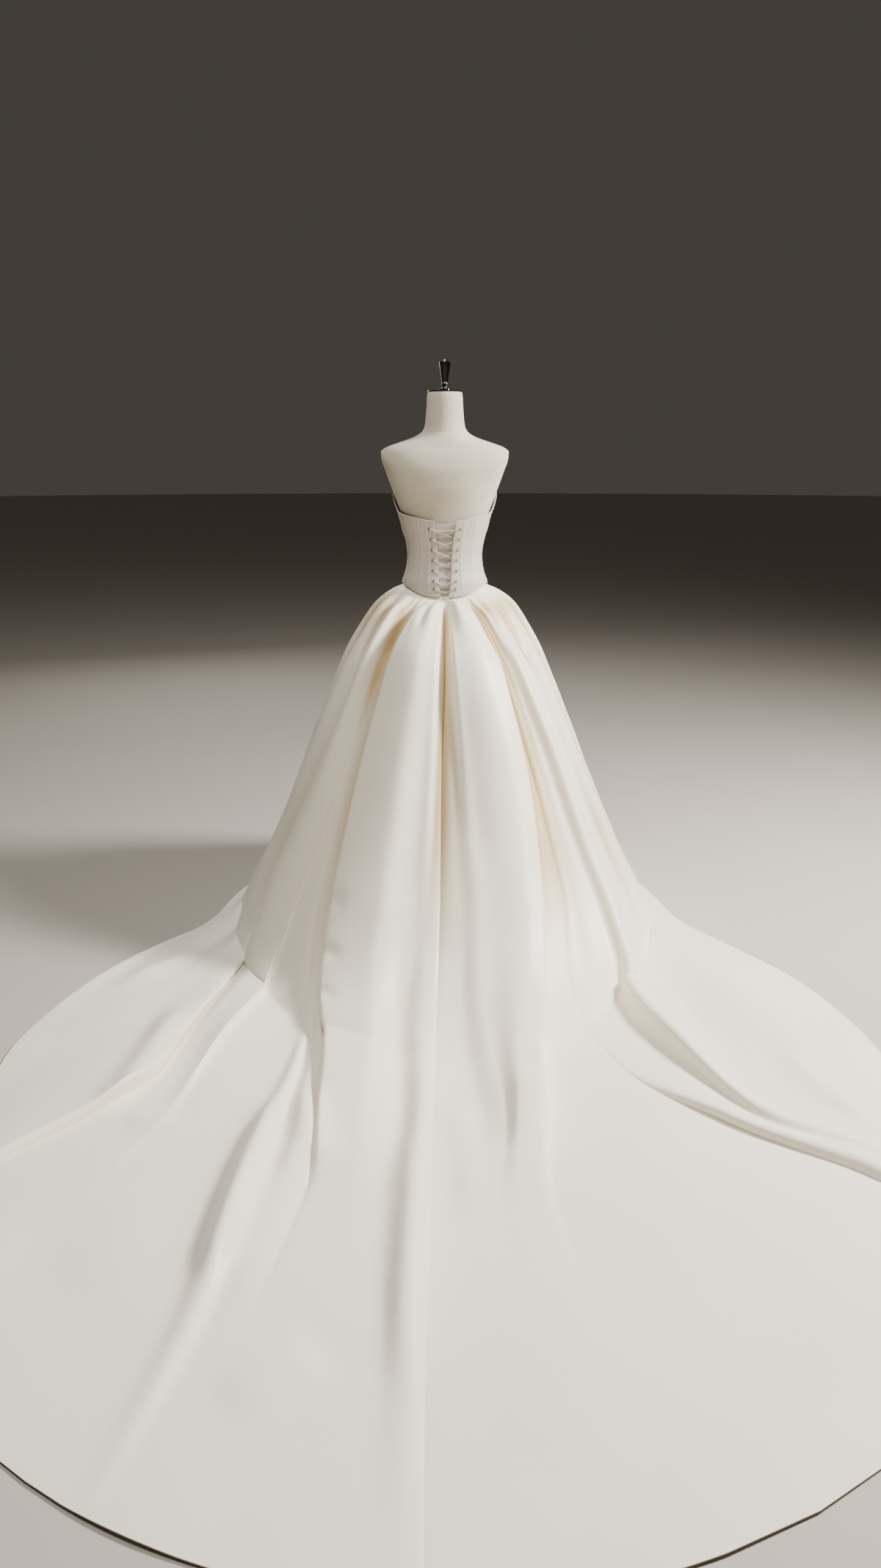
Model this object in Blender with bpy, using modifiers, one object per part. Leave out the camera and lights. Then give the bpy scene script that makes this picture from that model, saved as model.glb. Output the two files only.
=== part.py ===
"""A strapless wedding dress with a long train, laced up the back, on a limbless dress form.

The front faces -Y and the train lies on the floor towards +Y. The wearer's left is +X.
Azimuth 0 is the centre back, and it grows towards the wearer's left.
Lengths are in metres and angles in degrees, unless a name says otherwise.
"""

import math

import bmesh
import bpy
from mathutils import Vector

# ---------------------------------------------------------------- driving sizes
CLOTH = 0.002  # wall of the skirt satin with its interlining
PANEL = 0.0018  # wall of a bodice panel
GAP = 0.0003  # what touching pieces keep between them
CM = 0.01

# Bodice body, at the panels' outer face: height, half width, depth to the back and to the front
BODY_SECTIONS = (
    (1.000, 0.1360, 0.1120, 0.1120),
    (1.030, 0.1325, 0.1090, 0.1105),
    (1.060, 0.1300, 0.1060, 0.1090),
    (1.100, 0.1180, 0.0960, 0.1010),
    (1.140, 0.1130, 0.0915, 0.0990),
    (1.180, 0.1175, 0.0930, 0.1060),
    (1.220, 0.1290, 0.0980, 0.1200),
    (1.260, 0.1395, 0.1035, 0.1370),
    (1.300, 0.1540, 0.1090, 0.1450),
    (1.345, 0.1710, 0.1130, 0.1450),
)
BODY_SQUARENESS = 2.25  # exponent of the rounded-off ellipse that each body section is

# Height of the bodice's top and lower edges round the body
TOP_EDGE = ((0, 1.245), (18, 1.247), (60, 1.262), (82, 1.275), (97, 1.312), (115, 1.338), (150, 1.345),
            (168, 1.338), (180, 1.322))
LOWER_EDGE = ((0, 1.018), (35, 1.030), (62, 1.050), (90, 1.060), (135, 1.055), (180, 1.030))

# Bodice panels: name, first and last azimuth, columns
BODICE_PANELS = (
    ("bodice_side_back_l", 47, 88, 7),
    ("bodice_side_front_l", 88, 140, 8),
    ("bodice_front", 140, 220, 12),
    ("bodice_side_front_r", 220, 272, 8),
    ("bodice_side_back_r", 272, 313, 7),
)
BODICE_ROWS = 8
BACK_PANEL_END = 47

# Lacing: each row's height and the distance between its two eyelets
LACING = (
    (1.225, 0.094),
    (1.194, 0.083),
    (1.163, 0.077),
    (1.132, 0.072),
    (1.101, 0.071),
    (1.070, 0.068),
    (1.047, 0.063),
    (1.030, 0.059),
)
EYELET_INSET = 0.016  # eyelet centre to the panel's edge
EYELET_RING = 0.0034
EYELET_WIRE = 0.0008
EYELET_LIFT = 0.0020  # middle of a ring above the panel's face, clear of its flat facets
HOLE_RADIUS = 0.0029
HOLE_SIDES = 8
HOLE_CUTTER = 0.02  # length of the cylinder that cuts a hole
LACED_EDGE_AZIMUTH = 16  # where the back panels' upper and lower ends are measured
BACK_COLUMNS = 6
WAIST_HEIGHT = 1.140
LACE_RADIUS = 0.00125
ON_PANEL = LACE_RADIUS + 3 * GAP  # how far out the lace's centre lies on a panel and under it
UNDER_PANEL = -(PANEL + LACE_RADIUS + 3 * GAP)
BAR_SAG = 0.006
# The lace's way up through an eyelet: how much nearer the centre back than the hole, and how far out
HOLE_WAY = (
    (0.0040, UNDER_PANEL), (0.0008, -0.0034), (-0.0002, -0.0012),
    (0.0002, 0.0026), (0.0022, 0.0048), (0.0056, 0.0040),
)
KNOT_HALF = 0.0045
KNOT_HEIGHT = 1.0225
KNOT_OUT = 0.0050
# How far out each half of the lace lies where it crosses the centre back: below the first row, and on it
LACE_A_MIDDLES = (0.0012, -0.0012)
LACE_B_MIDDLES = (-0.0027, -0.0046)
# Free ends of the lace, from the knot over the gathers: azimuth, skirt level and distance off the cloth
END_LEFT = ((1.2, 0.155, 0.0045), (3.2, 0.190, 0.0020), (5.5, 0.225, 0.0012), (7.4, 0.270, 0.0012))
END_RIGHT = ((-1.2, 0.155, 0.0045), (-4.0, 0.200, 0.0020), (-7.5, 0.260, 0.0012), (-10.5, 0.330, 0.0012))
MODESTY_DEPTH = 0.0076  # how far the modesty panel's outer face lies inside the panels' outer face
MODESTY_WALL = 0.0015
MODESTY_HALF = 0.062
MODESTY_LOW, MODESTY_HIGH = 1.035, 1.243
MODESTY_COLUMNS = 8
MODESTY_ROWS = 8

# Dress form: height, half width, depth to the back and to the front, squareness
FORM_SECTIONS = (
    (0.900, 0.1300, 0.0950, 0.0900, 2.2),
    (0.930, 0.1380, 0.1020, 0.0980, 2.2),
    (1.000, 0.1240, 0.0980, 0.1000, 2.2),
    (1.060, 0.1180, 0.0930, 0.0970, 2.2),
    (1.100, 0.1070, 0.0840, 0.0910, 2.2),
    (1.140, 0.1020, 0.0795, 0.0890, 2.2),
    (1.180, 0.1070, 0.0810, 0.0960, 2.2),
    (1.220, 0.1180, 0.0860, 0.1100, 2.2),
    (1.260, 0.1315, 0.0930, 0.1260, 2.2),
    (1.300, 0.1460, 0.0990, 0.1310, 2.25),
    (1.346, 0.1630, 0.1050, 0.1250, 2.25),
    (1.390, 0.1790, 0.1060, 0.1130, 2.4),
    (1.430, 0.1920, 0.0980, 0.0980, 2.6),
    (1.448, 0.1930, 0.0900, 0.0880, 2.5),
    (1.460, 0.1800, 0.0830, 0.0800, 2.4),
    (1.470, 0.1550, 0.0780, 0.0730, 2.3),
    (1.480, 0.1240, 0.0730, 0.0680, 2.2),
    (1.490, 0.0960, 0.0680, 0.0640, 2.1),
    (1.502, 0.0740, 0.0630, 0.0610, 2.0),
    (1.520, 0.0610, 0.0590, 0.0590, 2.0),
    (1.560, 0.0560, 0.0560, 0.0560, 2.0),
    (1.617, 0.0520, 0.0520, 0.0520, 2.0),
    (1.620, 0.0495, 0.0495, 0.0495, 2.0),
)
FORM_SIDES = 30
CAP_RADIUS = 0.051
CAP_HEIGHT = 0.004
CAP_CHAMFER = 0.001
FINIAL_BASE = ((0.0, 0.0), (0.0190, 0.0), (0.0185, 0.003), (0.0100, 0.006), (0.0072, 0.011), (0.0, 0.011))
FINIAL_BODY = ((0.0, 0.0), (0.0060, 0.0), (0.0095, 0.004), (0.0095, 0.008), (0.0072, 0.012),
               (0.0090, 0.014), (0.0170, 0.066), (0.0165, 0.069), (0.0060, 0.071), (0.0, 0.078))
TURNED_STEPS = 24
POLE_RADIUS = 0.016
POLE_TOP = 0.8995
FOOT_RADIUS = 0.17
FOOT_HEIGHT = 0.022
FOOT = (
    (0.0, 0.0), (FOOT_RADIUS, 0.0), (FOOT_RADIUS, 0.008), (0.158, 0.013), (0.030, FOOT_HEIGHT),
    (0.0, FOOT_HEIGHT),
)  # distance from the axis and height of its profile

# ---------------------------------------------------------------- skirt
# One row for each level of the skirt: level, height, and its valleys' distance from the axis at the
# side, back and front. Level 4.5 is where the skirt meets the floor, and 8 is the hem.
LEVELS = (
    (0.00, 1.006, 0.1226, 0.1020, 0.1030),
    (0.10, 0.996, 0.1245, 0.1032, 0.1040),
    (0.25, 0.982, 0.1560, 0.1330, 0.1300),
    (0.50, 0.955, 0.2050, 0.1900, 0.1800),
    (0.75, 0.905, 0.2450, 0.2500, 0.2350),
    (1.00, 0.850, 0.2780, 0.3050, 0.2750),
    (1.50, 0.700, 0.3420, 0.3900, 0.3350),
    (2.00, 0.550, 0.4050, 0.4700, 0.3900),
    (2.50, 0.400, 0.4650, 0.5600, 0.4450),
    (3.00, 0.250, 0.5300, 0.6750, 0.5000),
    (3.50, 0.130, 0.5900, 0.8000, 0.5500),
    (4.00, 0.045, 0.6350, 0.9450, 0.5900),
    (4.50, 0.000, 0.6600, 1.1000, 0.6200),
)
WAIST_Z_BASE = 1.000  # the height that the first rows above are measured for, at the bodice's lower edge
WAIST_FADE = 1.0  # level where the skirt no longer follows the dip of the bodice's lower edge
PUFF_LEVEL = 0.5  # level where the skirt has left the bodice's squarer section for an ellipse
FLOOR_LEVEL = 4.5
FLOOR_SHARE = ((4.5, 0.0), (5, 0.15), (6, 0.45), (7, 0.75), (8, 1.0))  # of the way from there to the hem
HEM_LEVEL = 8
LEVEL_STEP = 0.04  # how far apart, in levels, two places are compared for the valleys' slope
SLOPE_STEP = 0.02  # and for the slope of the folded cloth
SHARE_STEP = 0.15  # how far to each side between two fold lines
LOW_NORMAL = 0.5  # the least upward part of the direction in which the cloth on the floor is thick
TRAIN_CENTRE = 1.42  # the train's end is an arc round this point behind the form
TRAIN_RADIUS = 1.10
FLANK = (
    (42, 1.609), (46, 1.515), (52, 1.340), (58, 1.170), (66, 0.950), (73, 0.800), (82, 0.735),
    (100, 0.695), (140, 0.660), (180, 0.650),
)  # azimuth and distance of the rest of the hem

# One row for each fold line: name, kind, columns to the next line, its azimuth at the waist, hip, thigh,
# knee, bend, floor, train, far and hem levels (0 to 8), and how far it stands out of the valleys, in
# centimetres, at the seven levels between.
ROUND, CREASE = "round", "crease"
BACK_LEFT = (
    ("centre_back", CREASE, 1, (0, 0, 1, 1, 1.2, 1.1, 0.9, 0.8, 0.6), (0.0, 0.3, 0.6, 0.9, 1.0, 0.8, 0.1)),
    ("seam_ridge", ROUND, 1, (1.5, 2, 2.5, 3, 3.5, 2.3, 1.9, 1.6, 1.4),
     (0.9, 0.8, 1.1, 1.6, 2.2, 2.2, 0.9)),
    ("seam_trough", ROUND, 2, (4, 4.5, 5, 5.5, 6.3, 4.3, 3.3, 2.9, 2.6),
     (3.0, 2.4, 1.4, 0.8, 0.2, 0.1, 0.1)),
    ("main_ridge_l", ROUND, 3, (10, 13, 15, 14.5, 12, 8.5, 6.5, 6, 6), (4.2, 4.6, 4.4, 4.2, 3.2, 0.3, 0.0)),
    ("main_edge_l", ROUND, 1, (22, 27, 27.3, 25.2, 20, 12.3, 9, 9, 9), (3.6, 4.2, 4.4, 4.4, 3.2, 0.3, 0.0)),
    ("main_tuck_l", CREASE, 1, (25, 28.7, 28.9, 26.5, 21.1, 13.2, 9.7, 9.6, 9.6),
     (0.6, 0.4, 0.4, 0.3, 0.0, 0.0, 0.0)),
    ("low_ridge_l", ROUND, 1, (27, 30, 31, 28.6, 22.4, 15, 11.4, 10.6, 10.6),
     (0.5, 0.5, 0.6, 0.6, 1.2, 1.0, 0.0)),
    ("low_foot_l", ROUND, 1, (28.5, 31.5, 33, 30.4, 23.6, 16.5, 12.8, 11.4, 11.4),
     (0.6, 0.7, 0.8, 0.6, 0.3, 0.2, 0.0)),
    ("floor_ridge_l", ROUND, 1, (30, 33.2, 35, 32.5, 25, 17.4, 14.2, 12.2, 12),
     (0.8, 1.0, 1.2, 0.9, 1.4, 2.2, 1.0)),
    ("floor_foot_l", ROUND, 3, (32, 35, 37, 34.8, 27.5, 19, 16.4, 13.6, 13),
     (0.6, 1.4, 1.8, 1.6, 0.3, 0.1, 0.0)),
    ("second_tuck", ROUND, 1, (35, 38.2, 39, 39.1, 35.3, 29.7, 23.6, 23, 23),
     (0.2, 1.7, 2.4, 2.2, 1.4, 0.1, 0.0)),
    ("second_edge", CREASE, 2, (36.5, 39.8, 40.4, 40.5, 36.6, 31, 24.8, 24, 24),
     (0.3, 2.2, 3.2, 3.6, 3.2, 0.4, 0.0)),
    ("second_ridge", ROUND, 3, (42, 44.5, 46.5, 49.5, 44, 35, 27, 26, 26),
     (3.6, 4.2, 4.4, 4.0, 2.4, 0.3, 0.0)),
    ("flap_tuck_l", CREASE, 1, (50, 53, 57, 60, 55, 41, 30.3, 31.6, 33),
     (1.2, 1.0, 0.8, 0.4, 0.3, 0.0, 0.0)),
)
SIDE_LEFT = (
    ("flap_edge_l", ROUND, 2, (53, 56, 60.5, 64, 58, 42.6, 31.3, 32.4, 33.6),
     (1.6, 1.5, 1.2, 1.2, 2.4, 2.6, 1.8)),
    ("outer_ridge_l", ROUND, 3, (63, 65, 70, 75, 69, 52, 43, 42, 42), (2.2, 2.4, 2.2, 1.8, 1.6, 1.4, 0.8)),
    ("side_valley_l", ROUND, 3, (77, 79, 84, 87, 80, 66, 57, 54, 53), (0.5, 0.6, 0.6, 0.6, 0.6, 0.8, 0.4)),
    ("side_ridge_l", ROUND, 3, (91, 92, 95, 97, 93, 85, 77, 72, 69), (2.2, 2.2, 2.0, 1.6, 1.2, 0.8, 0.5)),
    ("side_seam_l", ROUND, 0, (104, 105, 106, 106, 104, 101, 98, 96, 94),
     (0.6, 0.5, 0.5, 0.5, 0.4, 0.3, 0.2)),
)
FRONT = (
    ("front_ridge_1", ROUND, 2, (118,) * 9, (2.3, 2.6, 2.4, 2.0, 1.6, 1.2, 1.0)),
    ("front_valley_1", ROUND, 2, (130,) * 9, (0.4, 0.3, 0.4, 0.4, 0.3, 0.2, 0.1)),
    ("front_ridge_2", ROUND, 2, (142,) * 9, (2.0, 2.6, 2.8, 2.2, 1.8, 1.4, 1.0)),
    ("front_valley_2", ROUND, 2, (157,) * 9, (0.6, 0.2, 0.0, 0.0, 0.0, 0.0, 0.0)),
    ("front_ridge_3", ROUND, 2, (169,) * 9, (1.6, 2.0, 2.2, 2.0, 1.6, 1.2, 0.9)),
    ("front_valley_3", ROUND, 2, (181,) * 9, (0.8, 0.9, 0.8, 0.6, 0.4, 0.3, 0.2)),
    ("front_ridge_4", ROUND, 2, (194,) * 9, (1.8, 2.3, 2.4, 2.1, 1.7, 1.3, 0.9)),
    ("front_valley_4", ROUND, 2, (205,) * 9, (0.5, 0.2, 0.0, 0.0, 0.0, 0.0, 0.0)),
    ("front_ridge_5", ROUND, 2, (219,) * 9, (2.1, 2.5, 2.6, 2.2, 1.8, 1.3, 1.0)),
    ("front_valley_5", ROUND, 2, (231,) * 9, (0.4, 0.3, 0.3, 0.3, 0.2, 0.2, 0.1)),
    ("front_ridge_6", ROUND, 2, (243,) * 9, (2.2, 2.5, 2.3, 1.9, 1.5, 1.2, 0.9)),
)
SIDE_RIGHT = (
    ("side_seam_r", ROUND, 3, (256, 255, 254, 254, 256, 260, 263, 265, 266),
     (0.6, 0.5, 0.5, 0.5, 0.4, 0.3, 0.2)),
    ("side_ridge_r", ROUND, 3, (270, 268, 265, 264, 268, 275, 283, 289, 292),
     (2.0, 2.0, 1.8, 1.5, 1.2, 0.9, 0.5)),
    ("side_valley_r", ROUND, 3, (283, 280, 277, 274, 280, 290, 299, 307, 310),
     (0.6, 0.6, 0.6, 0.6, 0.8, 1.0, 0.8)),
    ("far_ridge_r", ROUND, 2, (296, 292, 287, 283, 289, 299, 312, 321, 321),
     (1.8, 1.8, 1.6, 1.4, 2.4, 2.6, 1.6)),
    ("hollow_r", ROUND, 2, (308, 303, 297, 293, 298, 317, 328, 325.6, 324.5),
     (1.0, 0.9, 0.7, 0.5, 0.5, 0.9, 1.2)),
    ("outer_back_r", ROUND, 1, (318, 313.5, 308.5, 307, 312, 325, 330.6, 327.2, 326),
     (1.8, 2.6, 2.6, 2.0, 2.0, 1.2, 1.4)),
    ("outer_ridge_r", ROUND, 1, (324, 320.4, 314.8, 314.2, 318.6, 329, 332.2, 328.6, 327.2),
     (3.0, 4.4, 5.0, 5.4, 5.2, 2.8, 1.8)),
    ("outer_under_r", ROUND, 1, (327, 323.6, 319.4, 319, 323, 332.4, 333.1, 329.2, 327.8),
     (1.4, 1.8, 2.0, 1.6, 0.5, 1.0, 1.6)),
    ("flap_edge_r", ROUND, 0, (330, 325.5, 323.2, 324, 331, 337.4, 334, 329.8, 328.4),
     (0.6, 0.8, 0.8, 0.6, 0.2, 1.8, 1.8)),
)
BACK_RIGHT = (
    ("outer_foot_r", CREASE, 5, (332.5, 327.3, 325.6, 327.6, 336.6, 338.8, 335, 330.7, 329.2),
     (0.2, 0.2, 0.2, 0.1, 0.0, 0.0, 0.0)),
    ("valley_r", CREASE, 1, (336, 329.3, 328.1, 332.2, 341.5, 348.5, 351.5, 351, 351),
     (0.0, 0.0, 0.0, 0.0, 0.0, 0.0, 0.0)),
    ("main_tuck_r", CREASE, 1, (338, 330.9, 332, 336.9, 343.6, 349.4, 352.3, 352.4, 352.4),
     (0.5, 0.3, 0.2, 0.1, 0.0, 0.0, 0.0)),
    ("main_edge_r", ROUND, 1, (340, 332.4, 333.5, 338.4, 344.9, 350.4, 353.2, 353.2, 353.2),
     (3.2, 4.2, 4.4, 4.4, 3.2, 0.3, 0.0)),
    ("main_ridge_r", ROUND, 2, (350, 343, 337.8, 340.6, 347.2, 352.3, 354.8, 354.8, 354.8),
     (4.2, 4.8, 4.8, 4.6, 3.4, 0.3, 0.0)),
    ("inner_shoulder_r", ROUND, 1, (355.5, 355, 352.5, 352, 353.8, 354, 356.6, 356.8, 356.8),
     (3.2, 3.2, 2.6, 2.2, 1.6, 0.2, 0.0)),
    ("seam_trough_r", ROUND, 1, (358, 357.6, 356.8, 356.8, 357.4, 356.9, 359, 359, 359),
     (0.9, 1.2, 1.2, 0.6, 0.0, 0.1, 0.0)),
)
TURN = 360.0
# Levels that have a row of points, in the pieces with the train and in the front
BACK_ROWS = (0.0, 0.1, 0.25, 0.5, 0.75, 1.0, 1.5, 2.0, 2.5, 3.0, 3.5, 4.0, 4.5, 5.0, 5.5, 6.0, 6.5, 7.0, 8.0)
FRONT_ROWS = (0.0, 0.1, 0.25, 0.5, 0.75, 1.0, 1.5, 2.0, 2.5, 3.0, 3.5, 4.0, 4.5, 8.0)

SATIN = ("ivory_satin", "F2EFE6", 0.38, 0.0)
BODICE_SATIN = ("bodice_satin", "E6E1D6", 0.42, 0.0)
LACE_SATIN = ("beaded_lace_satin", "EAE6DB", 0.5, 0.0)
CORD = ("lacing_cord", "DDD8CA", 0.45, 0.0)
EYELET = ("eyelet_metal", "B9B2A2", 0.35, 0.8)
FORM_SKIN = ("form_cloth", "CFC7B0", 0.8, 0.0)
CHROME = ("polished_chrome", "C9CCD0", 0.08, 1.0)
STEEL = ("painted_steel", "26262A", 0.5, 0.3)


# ---------------------------------------------------------------- tables
def smooth(rows, at):
    """The table's value there: a curve through its points that never swings past them."""
    if at <= rows[0][0]:
        return rows[0][1]
    if at >= rows[-1][0]:
        return rows[-1][1]
    k = next(i for i in range(len(rows) - 1) if at <= rows[i + 1][0])
    slopes = [(b[1] - a[1]) / (b[0] - a[0]) for a, b in zip(rows, rows[1:])]

    def tangent(i):
        if i == 0 or i == len(rows) - 1:
            return slopes[min(i, len(slopes) - 1)]
        before, after = slopes[i - 1], slopes[i]
        if before * after <= 0:
            return 0.0
        return 2 * before * after / (before + after)

    width = rows[k + 1][0] - rows[k][0]
    t = (at - rows[k][0]) / width
    start, end = rows[k][1], rows[k + 1][1]
    return (
        start * (1 + 2 * t) * (1 - t) ** 2
        + tangent(k) * width * t * (1 - t) ** 2
        + end * t * t * (3 - 2 * t)
        + tangent(k + 1) * width * t * t * (t - 1)
    )


def column(table, index):
    return [(row[0], row[index]) for row in table]


# ---------------------------------------------------------------- bodice surface
def from_back(azimuth):
    """Degrees from the centre back, 0 to 180, on either side."""
    turned = azimuth % TURN
    return min(turned, TURN - turned)


def section_point(azimuth, half, back, front, squareness):
    """Point of a rounded-off ellipse, in the direction of that azimuth."""
    angle = math.radians(azimuth)
    depth = back if math.cos(angle) >= 0 else front
    reach = (abs(math.sin(angle)) / half) ** squareness + (abs(math.cos(angle)) / depth) ** squareness
    distance = reach ** (-1 / squareness)
    return distance * math.sin(angle), distance * math.cos(angle)


def body_point(azimuth, height, inwards=0.0):
    """Point of the bodice's outer face, moved square to the face by a small distance."""
    sizes = [smooth(column(BODY_SECTIONS, i), height) for i in (1, 2, 3)]
    x, y = section_point(azimuth, *sizes, BODY_SQUARENESS)
    x1, y1 = section_point(azimuth + 1, *sizes, BODY_SQUARENESS)
    along = Vector((x1 - x, y1 - y, 0)).normalized()
    out = Vector((-along.y, along.x, 0))
    if out.dot(Vector((x, y, 0))) < 0:
        out = -out
    return Vector((x, y, height)) - out * inwards


def back_azimuth(across, height):
    """Azimuth where the bodice's face is that far across, left positive, on the back."""
    low, high = 0.0, 80.0
    for _ in range(30):
        middle = (low + high) / 2
        if body_point(middle, height).x < abs(across):
            low = middle
        else:
            high = middle
    return math.copysign(low, across)


def panel_edge(height):
    """Distance from the centre back to the laced edge of a back panel."""
    rows = [(row[0], row[1] / 2 - EYELET_INSET) for row in reversed(LACING)]
    return smooth(rows, height)


def edge_height(azimuth, share):
    """Height at a share of the way from the lower edge to the upper."""
    side = from_back(azimuth)
    low, high = smooth(LOWER_EDGE, side), smooth(TOP_EDGE, side)
    return low + (high - low) * share


# ---------------------------------------------------------------- skirt surface
def hem_distance(azimuth):
    side = from_back(azimuth)
    angle = math.radians(side)
    if side < FLANK[0][0]:
        across = TRAIN_CENTRE * math.sin(angle)
        return TRAIN_CENTRE * math.cos(angle) + math.sqrt(max(TRAIN_RADIUS**2 - across**2, 0))
    return smooth(FLANK, side)


def base_profile(azimuth, level):
    """Distance from the axis and height of the valleys, at that azimuth and level."""
    upright = min(level, FLOOR_LEVEL)
    height, side, back, front = [smooth(column(LEVELS, i), upright) for i in (1, 2, 3, 4)]
    squareness = 2 + (BODY_SQUARENESS - 2) * max(1 - level / PUFF_LEVEL, 0)
    x, y = section_point(azimuth, side, back, front, squareness)
    distance = math.hypot(x, y)
    if level < WAIST_FADE:
        lower_edge = smooth(LOWER_EDGE, from_back(azimuth))
        height += (lower_edge - WAIST_Z_BASE) * (1 - level / WAIST_FADE) ** 2 * (1 + 2 * level / WAIST_FADE)
    if level > FLOOR_LEVEL:
        distance += (hem_distance(azimuth) - distance) * smooth(FLOOR_SHARE, level)
    return distance, height


def fold_point(azimuth, level, stands_out):
    """Point of the skirt's inner face: the valleys' surface, moved out square to it."""
    distance, height = base_profile(azimuth, level)
    up_distance, up_height = base_profile(azimuth, max(level - LEVEL_STEP, 0))
    down_distance, down_height = base_profile(azimuth, min(level + LEVEL_STEP, HEM_LEVEL))
    run, drop = down_distance - up_distance, up_height - down_height
    length = math.hypot(run, drop)
    distance += stands_out * drop / length
    height += stands_out * run / length
    angle = math.radians(azimuth)
    return Vector((distance * math.sin(angle), distance * math.cos(angle), max(height, 0.0)))


def line_values(line, level):
    """Azimuth and stand-out of a fold line at that level."""
    azimuths = list(enumerate(line[3]))
    stands = [(0.0, 0.0), (0.1, 0.0), (0.25, line[4][0] * 0.2), (0.5, line[4][0] * 0.6)]
    stands += list(enumerate(line[4], start=1)) + [(HEM_LEVEL, 0.0)]
    return smooth(azimuths, level), smooth(stands, level) * CM


def between(start_kind, end_kind, t):
    """How far the cloth has gone from one fold line's height to the next: round lines have round tops."""
    if start_kind == ROUND and end_kind == ROUND:
        return t * t * (3 - 2 * t)
    if start_kind == CREASE and end_kind == ROUND:
        return math.sin(t * math.pi / 2)
    if start_kind == ROUND and end_kind == CREASE:
        return 1 - math.cos(t * math.pi / 2)
    return t


def skirt_point(line, following, t, level):
    """Point of the skirt between two fold lines, 0 at the first and 1 at the second."""
    azimuth, stands = line_values(line, level)
    next_azimuth, next_stands = line_values(following, level)
    share = between(line[1], following[1], t)
    return fold_point(azimuth + (next_azimuth - azimuth) * t, level, stands + (next_stands - stands) * share)


def turned(line, turns):
    return (*line[:3], tuple(a + TURN * turns for a in line[3]), line[4])


# ---------------------------------------------------------------- solids
def material_of(settings):
    name, colour, roughness, metallic = settings
    found = bpy.data.materials.get(name)
    if found:
        return found
    material = bpy.data.materials.new(name)
    material.use_nodes = True
    shader = material.node_tree.nodes["Principled BSDF"]
    channels = [int(colour[i : i + 2], 16) / 255 for i in (0, 2, 4)]
    linear = [c / 12.92 if c <= 0.04045 else ((c + 0.055) / 1.055) ** 2.4 for c in channels]
    shader.inputs["Base Color"].default_value = (*linear, 1)
    shader.inputs["Roughness"].default_value = roughness
    shader.inputs["Metallic"].default_value = metallic
    material.diffuse_color = (*linear, 1)
    return material


def add_object(name, mesh, settings, collection):
    mesh.materials.append(material_of(settings))
    thing = bpy.data.objects.new(name, mesh)
    collection.objects.link(thing)
    for face in mesh.polygons:
        face.use_smooth = True
    return thing


def wall(name, inner, outer, settings, collection):
    """Closed wall between two like grids of points, each a list of columns. Both faces are cut alike."""
    cage = bmesh.new()
    faces = []
    sides = [[[cage.verts.new(p) for p in line] for line in grid] for grid in (inner, outer)]
    last, end = len(inner) - 1, len(inner[0]) - 1
    for i in range(last):
        for j in range(end):
            near, far = [
                [grid[i][j], grid[i + 1][j], grid[i + 1][j + 1], grid[i][j + 1]] for grid in sides
            ]
            straight = (near[2].co - near[0].co).length <= (near[3].co - near[1].co).length
            for a, b, c in ((0, 1, 2), (0, 2, 3)) if straight else ((0, 1, 3), (1, 2, 3)):
                faces += [[near[a], near[b], near[c]], [far[c], far[b], far[a]]]
    for i in range(last):
        for j in (0, end):
            faces.append([sides[0][i][j], sides[0][i + 1][j], sides[1][i + 1][j], sides[1][i][j]])
    for j in range(end):
        for i in (0, last):
            faces.append([sides[0][i][j], sides[0][i][j + 1], sides[1][i][j + 1], sides[1][i][j]])
    for corners in faces:
        cage.faces.new(corners)
    bmesh.ops.recalc_face_normals(cage, faces=cage.faces[:])
    if cage.calc_volume(signed=True) < 0:
        bmesh.ops.reverse_faces(cage, faces=cage.faces[:])
    mesh = bpy.data.meshes.new(name)
    cage.to_mesh(mesh)
    cage.free()
    return add_object(name, mesh, settings, collection)


def loft(name, rings, settings, collection):
    """Closed solid through like rings of points, with flat ends."""
    cage = bmesh.new()
    loops = [[cage.verts.new(p) for p in ring] for ring in rings]
    count = len(loops[0])
    for lower, upper in zip(loops, loops[1:]):
        for i in range(count):
            j = (i + 1) % count
            cage.faces.new((lower[i], lower[j], upper[j], upper[i]))
    cage.faces.new(loops[0])
    cage.faces.new(loops[-1])
    bmesh.ops.recalc_face_normals(cage, faces=cage.faces[:])
    mesh = bpy.data.meshes.new(name)
    cage.to_mesh(mesh)
    cage.free()
    return add_object(name, mesh, settings, collection)


def turned_solid(name, profile, base, settings, collection):
    """A profile of distance and height, turned round the axis."""
    mesh = bpy.data.meshes.new(name)
    points = [(distance, 0, height) for distance, height in reversed(profile)]
    mesh.from_pydata(points, [(i, i + 1) for i in range(len(points) - 1)], [])
    thing = add_object(name, mesh, settings, collection)
    thing.location = (0, 0, base)
    screw = thing.modifiers.new("turn", "SCREW")
    screw.steps = screw.render_steps = TURNED_STEPS
    screw.use_merge_vertices = True
    screw.merge_threshold = 0.0001
    screw.use_smooth_shade = True
    return thing


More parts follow.
